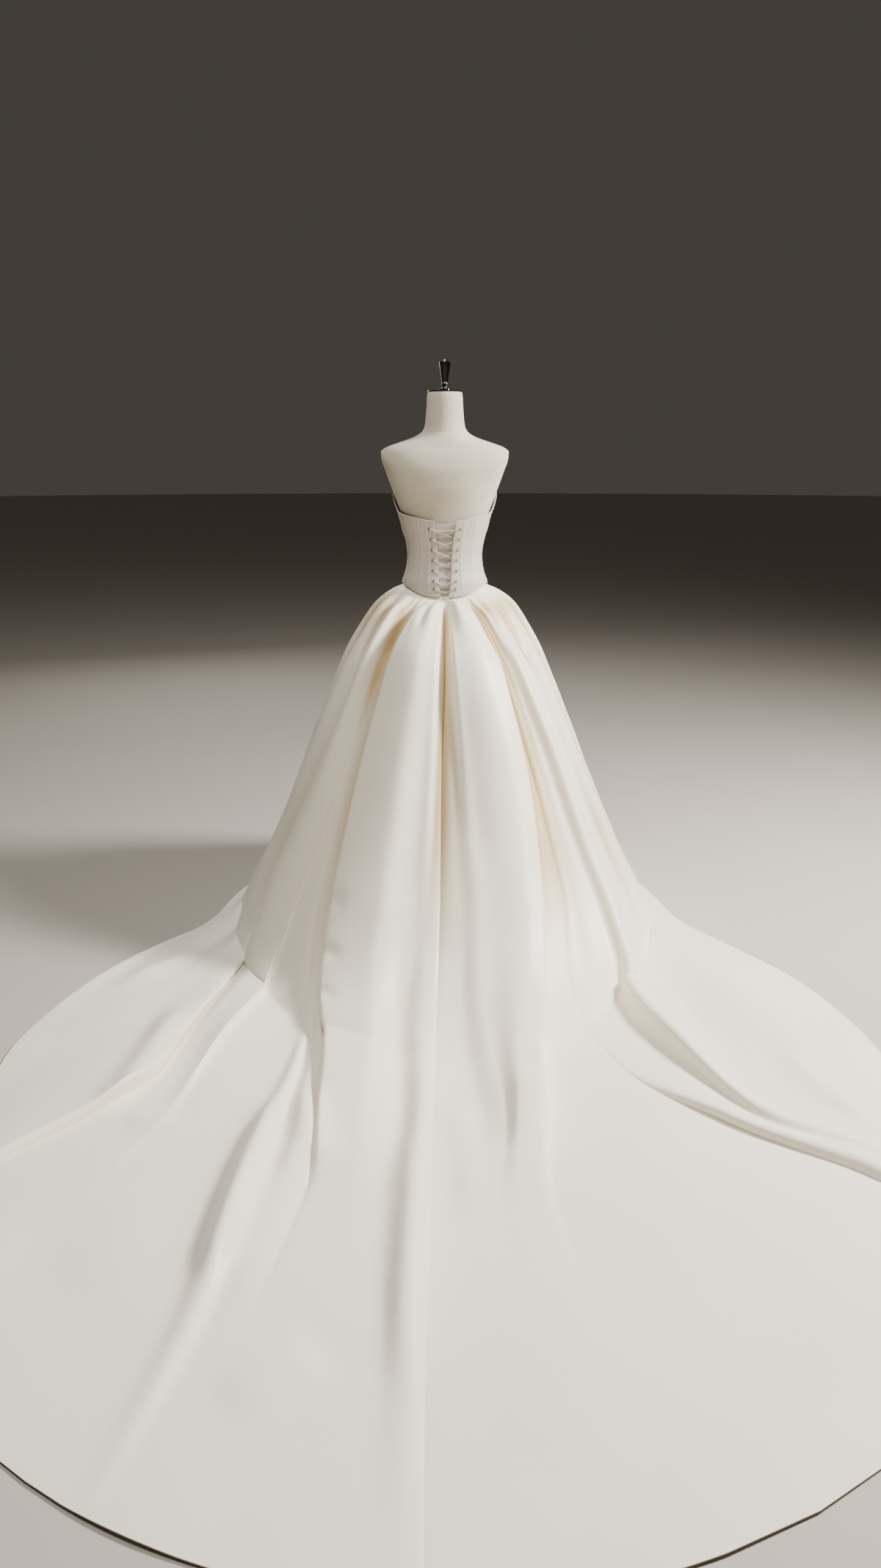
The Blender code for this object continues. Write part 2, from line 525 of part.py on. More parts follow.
# ---------------------------------------------------------------- dress form
def build_form(collection):
    rings = []
    for height, half, back, front, squareness in FORM_SECTIONS:
        ring = []
        for i in range(FORM_SIDES):
            x, y = section_point(TURN * i / FORM_SIDES, half, back, front, squareness)
            ring.append((x, y, height))
        rings.append(ring)
    loft("form_torso", rings, FORM_SKIN, collection)
    cap_base = FORM_SECTIONS[-1][0] + GAP
    rim = (CAP_RADIUS, CAP_HEIGHT - CAP_CHAMFER), (CAP_RADIUS - CAP_CHAMFER, CAP_HEIGHT)
    cap = ((0.0, 0.0), (CAP_RADIUS, 0.0), *rim, (0.0, CAP_HEIGHT))
    turned_solid("neck_cap", cap, cap_base, CHROME, collection)
    base = cap_base + CAP_HEIGHT + GAP
    turned_solid("finial_base", FINIAL_BASE, base, CHROME, collection)
    turned_solid("finial", FINIAL_BODY, base + FINIAL_BASE[-1][1] + GAP, CHROME, collection)
    pole_base = FOOT_HEIGHT + GAP
    pole = ((0.0, pole_base), (POLE_RADIUS, pole_base), (POLE_RADIUS, POLE_TOP), (0.0, POLE_TOP))
    turned_solid("stand_pole", pole, 0, STEEL, collection)
    turned_solid("stand_foot", FOOT, 0, STEEL, collection)


# ---------------------------------------------------------------- bodice
def bodice_grid(first, last, columns, inwards, edge=None):
    """Columns of points up the bodice. An edge, if given, is the azimuth of the first column at a height."""
    grid = []
    for i in range(columns + 1):
        line = []
        for j in range(BODICE_ROWS + 1):
            share = j / BODICE_ROWS
            start = first
            if edge is not None:
                start = edge(edge_height(first, share))
            azimuth = start + (last - start) * i / columns
            height = edge_height(azimuth, share)
            line.append(body_point(azimuth, height, inwards))
        grid.append(line)
    return grid


def seam_shift(azimuth):
    """Degrees that half a seam's gap takes on the body."""
    point = body_point(azimuth, WAIST_HEIGHT)
    return math.degrees(GAP / 2 / math.hypot(point.x, point.y))


def eyelet_place(row, side, inwards=0.0):
    height, apart = LACING[row]
    return body_point(back_azimuth(side * apart / 2, height), height, inwards)


def outwards(side, row):
    return (eyelet_place(row, side) - eyelet_place(row, side, 0.01)).normalized()


def cut_holes(panel, side, name, cutters):
    """Eyelet holes through a back panel."""
    for row in range(len(LACING)):
        cage = bmesh.new()
        bmesh.ops.create_cone(
            cage,
            cap_ends=True,
            segments=HOLE_SIDES,
            radius1=HOLE_RADIUS,
            radius2=HOLE_RADIUS,
            depth=HOLE_CUTTER,
        )
        mesh = bpy.data.meshes.new(f"{name}_hole_{row + 1}")
        cage.to_mesh(mesh)
        cage.free()
        cutter = bpy.data.objects.new(mesh.name, mesh)
        cutters.objects.link(cutter)
        cutter.location = eyelet_place(row, side)
        cutter.rotation_mode = "QUATERNION"
        cutter.rotation_quaternion = outwards(side, row).to_track_quat("Z", "Y")
        cutter.hide_render = True
        cutter.display_type = "WIRE"
        hole = panel.modifiers.new(f"hole_{row + 1}", "BOOLEAN")
        hole.solver = "EXACT"
        hole.operation = "DIFFERENCE"
        hole.object = cutter


def build_eyelets(side, letter, collection):
    for row in range(len(LACING)):
        bpy.ops.mesh.primitive_torus_add(
            major_radius=EYELET_RING, minor_radius=EYELET_WIRE, major_segments=10, minor_segments=4
        )
        ring = bpy.context.object
        ring.name = ring.data.name = f"eyelet_{letter}{row + 1}"
        ring.data.materials.append(material_of(EYELET))
        ring.data.shade_smooth()
        ring.location = eyelet_place(row, side, -EYELET_LIFT)
        ring.rotation_mode = "QUATERNION"
        ring.rotation_quaternion = outwards(side, row).to_track_quat("Z", "Y")
        for owner in ring.users_collection:
            owner.objects.unlink(ring)
        collection.objects.link(ring)


def build_bodice(collection, cutters):
    for name, first, last, columns in BODICE_PANELS:
        shift = seam_shift(first)
        inner = bodice_grid(first + shift, last - shift, columns, PANEL)
        outer = bodice_grid(first + shift, last - shift, columns, 0)
        cloth = BODICE_SATIN if "side_back" in name else LACE_SATIN
        wall(name, inner, outer, cloth, collection)
    for side, letter in ((1, "l"), (-1, "r")):

        def laced_edge(height, side=side):
            return back_azimuth(side * panel_edge(height), height)

        end = side * (BACK_PANEL_END - seam_shift(BACK_PANEL_END))
        start = side * LACED_EDGE_AZIMUTH
        grids = [bodice_grid(start, end, BACK_COLUMNS, inwards, laced_edge) for inwards in (PANEL, 0)]
        panel = wall(f"bodice_back_{letter}", *grids, BODICE_SATIN, collection)
        cut_holes(panel, side, f"bodice_back_{letter}", cutters)
        build_eyelets(side, letter, collection)


def build_modesty_panel(collection):
    grids = []
    for inwards in (MODESTY_DEPTH + MODESTY_WALL, MODESTY_DEPTH):
        grid = []
        for i in range(MODESTY_COLUMNS + 1):
            across = MODESTY_HALF * (2 * i / MODESTY_COLUMNS - 1)
            line = []
            for j in range(MODESTY_ROWS + 1):
                height = MODESTY_LOW + (MODESTY_HIGH - MODESTY_LOW) * j / MODESTY_ROWS
                line.append(body_point(back_azimuth(across, height), height, inwards))
            grid.append(line)
        grids.append(grid)
    wall("modesty_panel", *grids, BODICE_SATIN, collection)


# ---------------------------------------------------------------- skirt
def skirt_grid(lines, rows, thick):
    """Columns of points down the skirt between the first and last fold line, on the inner or outer face."""
    grid = []
    for line, following in zip(lines, lines[1:]):
        steps = line[2] or 1
        grid += [skirt_column(line, following, i / steps, rows, thick) for i in range(steps)]
    end = skirt_column(lines[-2], lines[-1], 1.0, rows, thick)
    # the seam's gap: the last column stops short of the line where the next piece starts
    backwards = [-chord(lines[-2], lines[-1], 1.0, level).normalized() for level in rows]
    grid.append([point + back * GAP for point, back in zip(end, backwards)])
    return grid


def skirt_column(line, following, t, rows, thick):
    column_points = []
    for level in rows:
        point = skirt_point(line, following, t, level)
        if thick:
            point = point + surface_normal(line, following, t, level) * CLOTH
        column_points.append(point)
    return column_points


def surface_normal(line, following, t, level):
    """Direction out of the skirt, taken over a short stretch to either side."""
    start, end = max(t - SHARE_STEP, 0), min(t + SHARE_STEP, 1)
    across = skirt_point(line, following, end, level) - skirt_point(line, following, start, level)
    if t in (0.0, 1.0):
        across = chord(line, following, t, level)
    upper, lower = max(level - SLOPE_STEP, 0), min(level + SLOPE_STEP, HEM_LEVEL)
    down = skirt_point(line, following, t, lower) - skirt_point(line, following, t, upper)
    normal = across.cross(down).normalized()
    radial = skirt_point(line, following, t, level)
    if normal.dot(Vector((radial.x, radial.y, 1.0))) < 0:
        normal = -normal
    if level > FLOOR_LEVEL and normal.z < LOW_NORMAL:
        normal = Vector((normal.x, normal.y, LOW_NORMAL)).normalized()
    return normal


def chord(line, following, t, level):
    """Direction across a fold line, level with the valleys, so that both sides of a seam agree."""
    ring = line_values(line if t == 0.0 else following, level)
    before = fold_point(ring[0] - 1, level, ring[1])
    after = fold_point(ring[0] + 1, level, ring[1])
    return after - before


def build_skirt(collection):
    around = (
        ("skirt_back_l", BACK_LEFT, SIDE_LEFT[0], BACK_ROWS),
        ("skirt_side_l", SIDE_LEFT, FRONT[0], BACK_ROWS),
        ("skirt_front", FRONT, SIDE_RIGHT[0], FRONT_ROWS),
        ("skirt_side_r", SIDE_RIGHT, BACK_RIGHT[0], BACK_ROWS),
        ("skirt_back_r", BACK_RIGHT, turned(BACK_LEFT[0], 1), BACK_ROWS),
    )
    for name, lines, following, rows in around:
        closed = (*lines, following)
        inner = skirt_grid(closed, rows, False)
        outer = skirt_grid(closed, rows, True)
        wall(name, inner, outer, SATIN, collection)


# ---------------------------------------------------------------- lacing
def face_point(across, height, out):
    """Point on the back of the bodice, that far outside the panels' outer face."""
    return body_point(back_azimuth(across, height), height, -out)


def eyelet_turn(side, row, upwards):
    """The lace's way through an eyelet, from the under side to the top or back, as face positions."""
    height, apart = LACING[row]
    way = [(side * (apart / 2 - nearer), height, out) for nearer, out in HOLE_WAY]
    return way if upwards else way[::-1]


def crossing(side, row, from_top, middle):
    """The lace's way over the gap, from one eyelet to the next row's on the other side."""
    (height, apart), (next_height, next_apart) = LACING[row], LACING[row + 1]
    start, end = side * apart / 2, -side * next_apart / 2

    def at(across, out):
        share = (start - across) / (start - end)
        return across, height + (next_height - height) * share, out

    own_edge = side * panel_edge(height)
    far_edge = -side * panel_edge(next_height)
    first = ON_PANEL if from_top else UNDER_PANEL
    return [at(own_edge, first), at(0.0, middle), at(far_edge, UNDER_PANEL)]


def lace_route(side, middle, first_middle):
    """One half of the lace, from the middle of its top bar down to its last eyelet and the knot."""
    height, apart = LACING[0]
    route = [
        (side * GAP / 2, height - BAR_SAG, ON_PANEL),
        (side * apart / 4, height - BAR_SAG * 0.7, ON_PANEL),
        *eyelet_turn(side, 0, False),
    ]
    for row in range(len(LACING) - 1):
        route += crossing(side, row, row > 0, middle if row > 0 else first_middle)
        side = -side
        route += eyelet_turn(side, row + 1, True)
    route.append((side * (KNOT_HALF + GAP), KNOT_HEIGHT + 0.002, KNOT_OUT))
    return [face_point(*place) for place in route]


def curve_through(points, per_gap):
    """Points of a smooth curve through these points."""
    ends = [points[0] * 2 - points[1], *points, points[-1] * 2 - points[-2]]
    curve = []
    for a, b, c, d in zip(ends, ends[1:], ends[2:], ends[3:]):
        for i in range(per_gap):
            t = i / per_gap
            curve.append(
                b
                + (c - a) * t / 2
                + (a - 2.5 * b + 2 * c - d / 2) * t**2
                + (1.5 * b - a / 2 - 1.5 * c + d / 2) * t**3
            )
    curve.append(points[-1])
    return curve


def tube(name, points, collection):
    curve = bpy.data.curves.new(name, "CURVE")
    curve.dimensions = "3D"
    curve.bevel_depth = LACE_RADIUS
    curve.bevel_resolution = 2
    curve.use_fill_caps = True
    spline = curve.splines.new("POLY")
    spline.points.add(len(points) - 1)
    for place, point in zip(spline.points, points):
        place.co = (*point, 1)
    curve.materials.append(material_of(CORD))
    collection.objects.link(bpy.data.objects.new(name, curve))


def over_skirt(azimuth, level, out):
    """Point that far outside the skirt's inner face, near the centre back."""
    lines = [*(turned(line, -1) for line in BACK_RIGHT), *BACK_LEFT]
    places = [line_values(line, level) for line in lines]
    k = next(i for i in range(len(places) - 1) if places[i + 1][0] >= azimuth)
    (start, low), (end, high) = places[k], places[k + 1]
    share = between(lines[k][1], lines[k + 1][1], (azimuth - start) / (end - start))
    return fold_point(azimuth, level, low + (high - low) * share + out)


def build_lacing(collection):
    tube("lace_a", lace_route(1, *LACE_A_MIDDLES), collection)
    tube("lace_b", lace_route(-1, *LACE_B_MIDDLES), collection)
    knot = bmesh.new()
    bmesh.ops.create_uvsphere(knot, u_segments=10, v_segments=6, radius=1)
    bmesh.ops.scale(knot, vec=(KNOT_HALF, KNOT_HALF * 0.8, KNOT_HALF), verts=knot.verts[:])
    mesh = bpy.data.meshes.new("lace_knot")
    knot.to_mesh(mesh)
    knot.free()
    thing = add_object("lace_knot", mesh, CORD, collection)
    thing.location = face_point(0, KNOT_HEIGHT, KNOT_OUT)
    for letter, route in (("l", END_LEFT), ("r", END_RIGHT)):
        points = [over_skirt(azimuth, level, CLOTH + LACE_RADIUS + out) for azimuth, level, out in route]
        tube(f"lace_end_{letter}", curve_through(points, 3), collection)


def clear_scene():
    for thing in list(bpy.data.objects):
        bpy.data.objects.remove(thing, do_unlink=True)


def main():
    clear_scene()
    scene = bpy.context.scene.collection
    collection = bpy.data.collections.new("wedding_dress")
    cutters = bpy.data.collections.new("cutters")
    scene.children.link(collection)
    scene.children.link(cutters)
    build_form(collection)
    build_bodice(collection, cutters)
    build_modesty_panel(collection)
    build_lacing(collection)
    build_skirt(collection)


main()
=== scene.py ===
"""Looks of the wedding dress on its dress form: fine cloth shells, lace, beads, stitches and finishes.

Every piece lies on the form of the solid that it stands for. Lengths are in metres and angles in degrees
unless a name says otherwise. Azimuth 0 is the centre back, and it grows towards the wearer's left.
"""

import math

import bmesh
import bpy
import numpy as np
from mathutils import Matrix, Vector


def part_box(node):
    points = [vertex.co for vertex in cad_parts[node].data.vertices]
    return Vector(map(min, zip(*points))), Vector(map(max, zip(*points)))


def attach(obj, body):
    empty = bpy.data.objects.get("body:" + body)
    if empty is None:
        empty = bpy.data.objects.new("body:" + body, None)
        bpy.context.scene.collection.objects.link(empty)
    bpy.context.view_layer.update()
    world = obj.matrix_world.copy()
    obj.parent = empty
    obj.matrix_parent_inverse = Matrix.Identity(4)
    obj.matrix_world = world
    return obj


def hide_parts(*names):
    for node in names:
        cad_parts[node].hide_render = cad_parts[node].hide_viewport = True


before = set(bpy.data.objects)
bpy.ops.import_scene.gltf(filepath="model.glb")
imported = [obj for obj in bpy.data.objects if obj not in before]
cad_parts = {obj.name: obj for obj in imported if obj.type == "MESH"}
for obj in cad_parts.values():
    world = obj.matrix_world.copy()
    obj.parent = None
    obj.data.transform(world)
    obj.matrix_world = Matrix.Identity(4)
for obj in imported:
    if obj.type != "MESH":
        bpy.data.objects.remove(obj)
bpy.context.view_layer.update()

bl_info = {
    "name": "Wedding dress on a dress form",
    "version": (1, 0, 0),
    "blender": (4, 5, 0),
    "location": "View3D > Sidebar > Gown",
    "description": "Builds a laced satin ball gown with a long train, and the dress form that holds it",
    "category": "Object",
}

TURN = 360.0
CM = 0.01
MM = 0.001
UV_NAME = "cloth"
# painted shade: this attribute mixes the satin towards its tan fold colour
PAINTED_FOLD_SHADE = "hollow"  # attribute: 0 on an open face, 1 at the bottom of a deep fold
SIDES = ((1, "l"), (-1, "r"))

# ---------------------------------------------------------------- bodice and form sizes
# Height, half width, depth to the back and to the front, at the panels' outer face
BODY_SECTIONS = (
    (1, 0.136, 0.112, 0.112), (1.03, 0.1325, 0.109, 0.1105), (1.06, 0.13, 0.106, 0.109),
    (1.1, 0.118, 0.096, 0.101), (1.14, 0.113, 0.0915, 0.099), (1.18, 0.1175, 0.093, 0.106),
    (1.22, 0.129, 0.098, 0.12), (1.26, 0.1395, 0.1035, 0.137), (1.3, 0.154, 0.109, 0.145),
    (1.345, 0.171, 0.113, 0.145),
)
BODY_SQUARENESS = 2.25
# Azimuth and height of the bodice's edges
TOP_EDGE = (
    (0, 1.245), (18, 1.247), (60, 1.262), (82, 1.275), (97, 1.312), (115, 1.338), (150, 1.345),
    (168, 1.338), (180, 1.322),
)
LOWER_EDGE = (
    (0, 1.018), (35, 1.03), (62, 1.05), (90, 1.06), (135, 1.055), (180, 1.03),
)
PANEL = 0.0018  # wall of a bodice panel
CLOTH = 0.002  # wall of the skirt satin with its interlining
GAP = 0.0003
ON_FACE = 0.0007  # trims and lace work lie this far over the panels' face

# Dress form: height, half width, depth to the back and to the front, squareness
FORM_SECTIONS = (
    (0.9, 0.13, 0.095, 0.09, 2.2), (0.93, 0.138, 0.102, 0.098, 2.2), (1, 0.124, 0.098, 0.1, 2.2),
    (1.06, 0.118, 0.093, 0.097, 2.2), (1.1, 0.107, 0.084, 0.091, 2.2), (1.14, 0.102, 0.0795, 0.089, 2.2),
    (1.18, 0.107, 0.081, 0.096, 2.2), (1.22, 0.118, 0.086, 0.11, 2.2), (1.26, 0.1315, 0.093, 0.126, 2.2),
    (1.3, 0.146, 0.099, 0.131, 2.25), (1.346, 0.163, 0.105, 0.125, 2.25), (1.39, 0.179, 0.106, 0.113, 2.4),
    (1.43, 0.192, 0.098, 0.098, 2.6), (1.448, 0.193, 0.09, 0.088, 2.5), (1.46, 0.18, 0.083, 0.08, 2.4),
    (1.47, 0.155, 0.078, 0.073, 2.3), (1.48, 0.124, 0.073, 0.068, 2.2), (1.49, 0.096, 0.068, 0.064, 2.1),
    (1.502, 0.074, 0.063, 0.061, 2), (1.52, 0.061, 0.059, 0.059, 2), (1.56, 0.056, 0.056, 0.056, 2),
    (1.617, 0.052, 0.052, 0.052, 2), (1.62, 0.0495, 0.0495, 0.0495, 2),
)
FORM_SIDES = 120
NECK_SEAM = 1.506  # height of the seam where the neck's cover is sewn on
# Node, and its profile of distance and height in millimetres over the node's own lowest point
TURNED_PIECES = (
    ("neck_cap", ((0, 0), (50.4, 0), (51, 0.6), (51, 3.2), (50.2, 4), (20, 4), (0, 4))),
    ("finial_base", (
        (0, 0), (18.2, 0), (19, 0.8), (18.5, 3), (15, 4.2), (10, 6), (7.6, 8.6), (7.2, 11), (0, 11),
    )),
    ("finial", (
        (0, 0), (6, 0), (8.6, 1.6), (9.8, 4), (9.8, 8), (8.4, 10.6), (7.2, 12), (7.8, 12.8), (9, 14),
        (11.4, 30), (14.4, 50), (17, 66), (17.2, 68), (16.2, 69.4), (12, 70.2), (6, 71.2), (4.4, 74),
        (2.6, 77), (0, 78),
    )),
)

# Bodice panels: CAD node, first and last azimuth
BODICE_PANELS = (
    ("bodice_side_back_l", 47, 88), ("bodice_side_front_l", 88, 140), ("bodice_front", 140, 220),
    ("bodice_side_front_r", 220, 272), ("bodice_side_back_r", 272, 313),
)
BACK_PANEL_END = 47
# Width and length of the rectangle that each bodice panel's flat cut lies in, and the cut's area
PANEL_CUTS = {
    "bodice_back": (0.082, 0.238, 0.0147),
    "bodice_side_back": (0.1, 0.251, 0.0192),
    "bodice_side_front": (0.137, 0.297, 0.0334),
    "bodice_front": (0.212, 0.323, 0.0526),
    "modesty_panel": (0.124, 0.234, 0.0282),
}
# Middle and half width of each bone channel, as shares of the way across a panel
PLAIN_BONES, LACE_BONES = ((0.5, 0.07), (0.93, 0.05)), ((0.5, 0.05),)
BONE_RISE, SEAM_SINK, SEAM_SHARE, SLACK = 0.0007, 0.0006, 0.03, 0.0004
PANEL_ROWS = 64
# Each lacing row's height, and the distance between its two eyelets
LACING = (
    (1.225, 0.094), (1.194, 0.083), (1.163, 0.077), (1.132, 0.072), (1.101, 0.071), (1.07, 0.068),
    (1.047, 0.063), (1.03, 0.059),
)
EYELET_INSET = 0.016
HOLE_RADIUS = 0.0029
# An eyelet's distance from its middle and height over the panel's face, in millimetres
EYELET_PROFILE = ((2.55, -2.3), (2.55, 0.6), (2.9, 1.1), (3.5, 1.25), (4.1, 1.0), (4.3, 0.45), (4.2, 0.15))
EYELET_SIDES = 20
LACE_RADIUS = 0.00125
ON_PANEL = LACE_RADIUS + 3 * GAP
UNDER_PANEL = -(PANEL + LACE_RADIUS + 3 * GAP)
BAR_SAG = 0.006
HOLE_WAY = (
    (0.0040, UNDER_PANEL), (0.0008, -0.0034), (-0.0002, -0.0012),
    (0.0002, 0.0026), (0.0022, 0.0048), (0.0056, 0.0040),
)
# Halves of the lace: node, side, and how far out its crossings lie, the first one's last
LACE_HALVES = (("lace_a", 1, 0.0012, -0.0012), ("lace_b", -1, -0.0027, -0.0046))
KNOT_HALF, KNOT_HEIGHT, KNOT_OUT = 0.0045, 1.0225, 0.0050
# Each bow loop's reach across and down, its half width, and how far it stands out
KNOT_LOOPS = ((0.017, -0.007, 0.0042, 0.0035), (-0.014, -0.010, 0.0038, 0.0030))
# Free ends: azimuth, level and height over the skirt
END_LEFT = (
    (1.2, 0.155, 0.0045), (3.2, 0.19, 0.002), (5.5, 0.225, 0.0012), (7.4, 0.27, 0.0012),
)
END_RIGHT = (
    (-1.2, 0.155, 0.0045), (-4, 0.2, 0.002), (-7.5, 0.26, 0.0012), (-10.5, 0.33, 0.0012),
)
MODESTY_DEPTH, MODESTY_WALL, MODESTY_HALF = 0.0076, 0.0015, 0.062
MODESTY_LOW, MODESTY_HIGH = 1.012, 1.243
MODESTY_TUCK = 0.0035  # how much deeper its lower end lies, inside the skirt's top

# ---------------------------------------------------------------- skirt sizes
# level, height, and the valleys' distance from the axis at the side, back and front
LEVELS = (
    (0, 1.006, 0.1226, 0.102, 0.103), (0.1, 0.996, 0.1245, 0.1032, 0.104),
    (0.25, 0.982, 0.156, 0.133, 0.13), (0.5, 0.955, 0.205, 0.19, 0.18), (0.75, 0.905, 0.245, 0.25, 0.235),
    (1, 0.85, 0.278, 0.305, 0.275), (1.5, 0.7, 0.342, 0.39, 0.335), (2, 0.55, 0.405, 0.47, 0.39),
    (2.5, 0.4, 0.465, 0.56, 0.445), (3, 0.25, 0.53, 0.675, 0.5), (3.5, 0.13, 0.59, 0.8, 0.55),
    (4, 0.045, 0.635, 0.945, 0.59), (4.5, 0, 0.66, 1.1, 0.62),
)
LEVEL_STEP = 0.04
WAIST_Z_BASE = 1.000
WAIST_FADE = 1.0
PUFF_LEVEL = 0.5
FLOOR_LEVEL = 4.5
HEM_LEVEL = 8.0
FLOOR_SHARE = (
    (4.5, 0), (5, 0.15), (6, 0.45), (7, 0.75), (8, 1),
)
TRAIN_CENTRE = 1.42
TRAIN_RADIUS = 1.10
FLANK = (
    (42, 1.609), (46, 1.515), (52, 1.34), (58, 1.17), (66, 0.95), (73, 0.8), (82, 0.735), (100, 0.695),
    (140, 0.66), (180, 0.65),
)

# One row for each fold line: name, kind, its azimuth at the waist, hip, thigh, knee, bend, floor, train,
# far and hem levels (0 to 8), how far it stands out of the valleys at the seven levels between, in
# centimetres, and for some how far it leans over its neighbour there, in centimetres.
ROUND, CREASE = "round", "crease"
BACK_LEFT = (
    ("centre_back", CREASE, (0, 0, 1, 1, 1.2, 1.1, 0.9, 0.8, 0.6), (0, 0.3, 0.6, 0.9, 1, 0.8, 0.1)),
    ("seam_ridge", ROUND, (1.5, 2, 2.5, 3, 3.5, 2.3, 1.9, 1.6, 1.4), (0.9, 0.8, 1.1, 1.6, 2.2, 2.2, 0.9)),
    ("seam_trough", ROUND, (4, 4.5, 5, 5.5, 6.3, 4.3, 3.3, 2.9, 2.6), (3, 2.4, 1.4, 0.8, 0.2, 0.1, 0.1)),
    ("main_ridge_l", ROUND, (10, 13, 15, 14.5, 12, 8.5, 6.5, 6, 6), (4.2, 4.6, 4.4, 4.2, 3.2, 0.3, 0)),
    ("main_edge_l", ROUND, (22, 27, 27.3, 25.2, 20, 12.3, 9, 9, 9), (3.6, 4.2, 4.4, 4.4, 3.2, 0.3, 0),
     (0.6, 1.6, 2, 2, 1.6, 0, 0)),
    ("main_tuck_l", CREASE, (25, 28.7, 28.9, 26.5, 21.1, 13.2, 9.7, 9.6, 9.6),
     (0.6, 0.4, 0.4, 0.3, 0, 0, 0)),
    ("low_ridge_l", ROUND, (27, 30, 31, 28.6, 22.4, 15, 11.4, 10.6, 10.6), (0.5, 0.5, 0.6, 0.6, 1.2, 1, 0)),
    ("low_foot_l", ROUND, (28.5, 31.5, 33, 30.4, 23.6, 16.5, 12.8, 11.4, 11.4),
     (0.6, 0.7, 0.8, 0.6, 0.3, 0.2, 0)),
    ("floor_ridge_l", ROUND, (30, 33.2, 35, 32.5, 25, 17.4, 14.2, 12.2, 12),
     (0.8, 1, 1.2, 0.9, 1.4, 2.2, 1)),
    ("floor_foot_l", ROUND, (32, 35, 37, 34.8, 27.5, 19, 16.4, 13.6, 13),
     (0.6, 1.4, 1.8, 1.6, 0.3, 0.1, 0)),
    ("second_tuck", ROUND, (35, 38.2, 39, 39.1, 35.3, 29.7, 23.6, 23, 23),
     (0.2, 1.7, 2.4, 2.2, 1.4, 0.1, 0)),
    ("second_edge", CREASE, (36.5, 39.8, 40.4, 40.5, 36.6, 31, 24.8, 24, 24),
     (0.3, 2.2, 3.2, 3.6, 3.2, 0.4, 0), (0, -0.6, -1, -1.2, -1.2, 0, 0)),
    ("second_ridge", ROUND, (42, 44.5, 46.5, 49.5, 44, 35, 27, 26, 26), (3.6, 4.2, 4.4, 4, 2.4, 0.3, 0)),
    ("flap_tuck_l", CREASE, (50, 53, 57, 60, 55, 41, 30.3, 31.6, 33), (1.2, 1, 0.8, 0.4, 0.3, 0, 0)),
)
SIDE_LEFT = (
    ("flap_edge_l", ROUND, (53, 56, 60.5, 64, 58, 42.6, 31.3, 32.4, 33.6),
     (1.6, 1.5, 1.2, 1.2, 2.4, 2.6, 1.8), (0, 0, -0.6, -1.4, -2.6, -2.6, -1.2)),
    ("outer_ridge_l", ROUND, (63, 65, 70, 75, 69, 52, 43, 42, 42), (2.2, 2.4, 2.2, 1.8, 1.6, 1.4, 0.8)),
    ("side_valley_l", ROUND, (77, 79, 84, 87, 80, 66, 57, 54, 53), (0.5, 0.6, 0.6, 0.6, 0.6, 0.8, 0.4)),
    ("side_ridge_l", ROUND, (91, 92, 95, 97, 93, 85, 77, 72, 69), (2.2, 2.2, 2, 1.6, 1.2, 0.8, 0.5)),
    ("side_seam_l", ROUND, (104, 105, 106, 106, 104, 101, 98, 96, 94), (0.6, 0.5, 0.5, 0.5, 0.4, 0.3, 0.2)),
)
FRONT = (
    ("front_ridge_1", ROUND, (118,) * 9, (2.3, 2.6, 2.4, 2, 1.6, 1.2, 1)),
    ("front_valley_1", ROUND, (130,) * 9, (0.4, 0.3, 0.4, 0.4, 0.3, 0.2, 0.1)),
    ("front_ridge_2", ROUND, (142,) * 9, (2, 2.6, 2.8, 2.2, 1.8, 1.4, 1)),
    ("front_valley_2", ROUND, (157,) * 9, (0.6, 0.2, 0, 0, 0, 0, 0)),
    ("front_ridge_3", ROUND, (169,) * 9, (1.6, 2, 2.2, 2, 1.6, 1.2, 0.9)),
    ("front_valley_3", ROUND, (181,) * 9, (0.8, 0.9, 0.8, 0.6, 0.4, 0.3, 0.2)),
    ("front_ridge_4", ROUND, (194,) * 9, (1.8, 2.3, 2.4, 2.1, 1.7, 1.3, 0.9)),
    ("front_valley_4", ROUND, (205,) * 9, (0.5, 0.2, 0, 0, 0, 0, 0)),
    ("front_ridge_5", ROUND, (219,) * 9, (2.1, 2.5, 2.6, 2.2, 1.8, 1.3, 1)),
    ("front_valley_5", ROUND, (231,) * 9, (0.4, 0.3, 0.3, 0.3, 0.2, 0.2, 0.1)),
    ("front_ridge_6", ROUND, (243,) * 9, (2.2, 2.5, 2.3, 1.9, 1.5, 1.2, 0.9)),
)
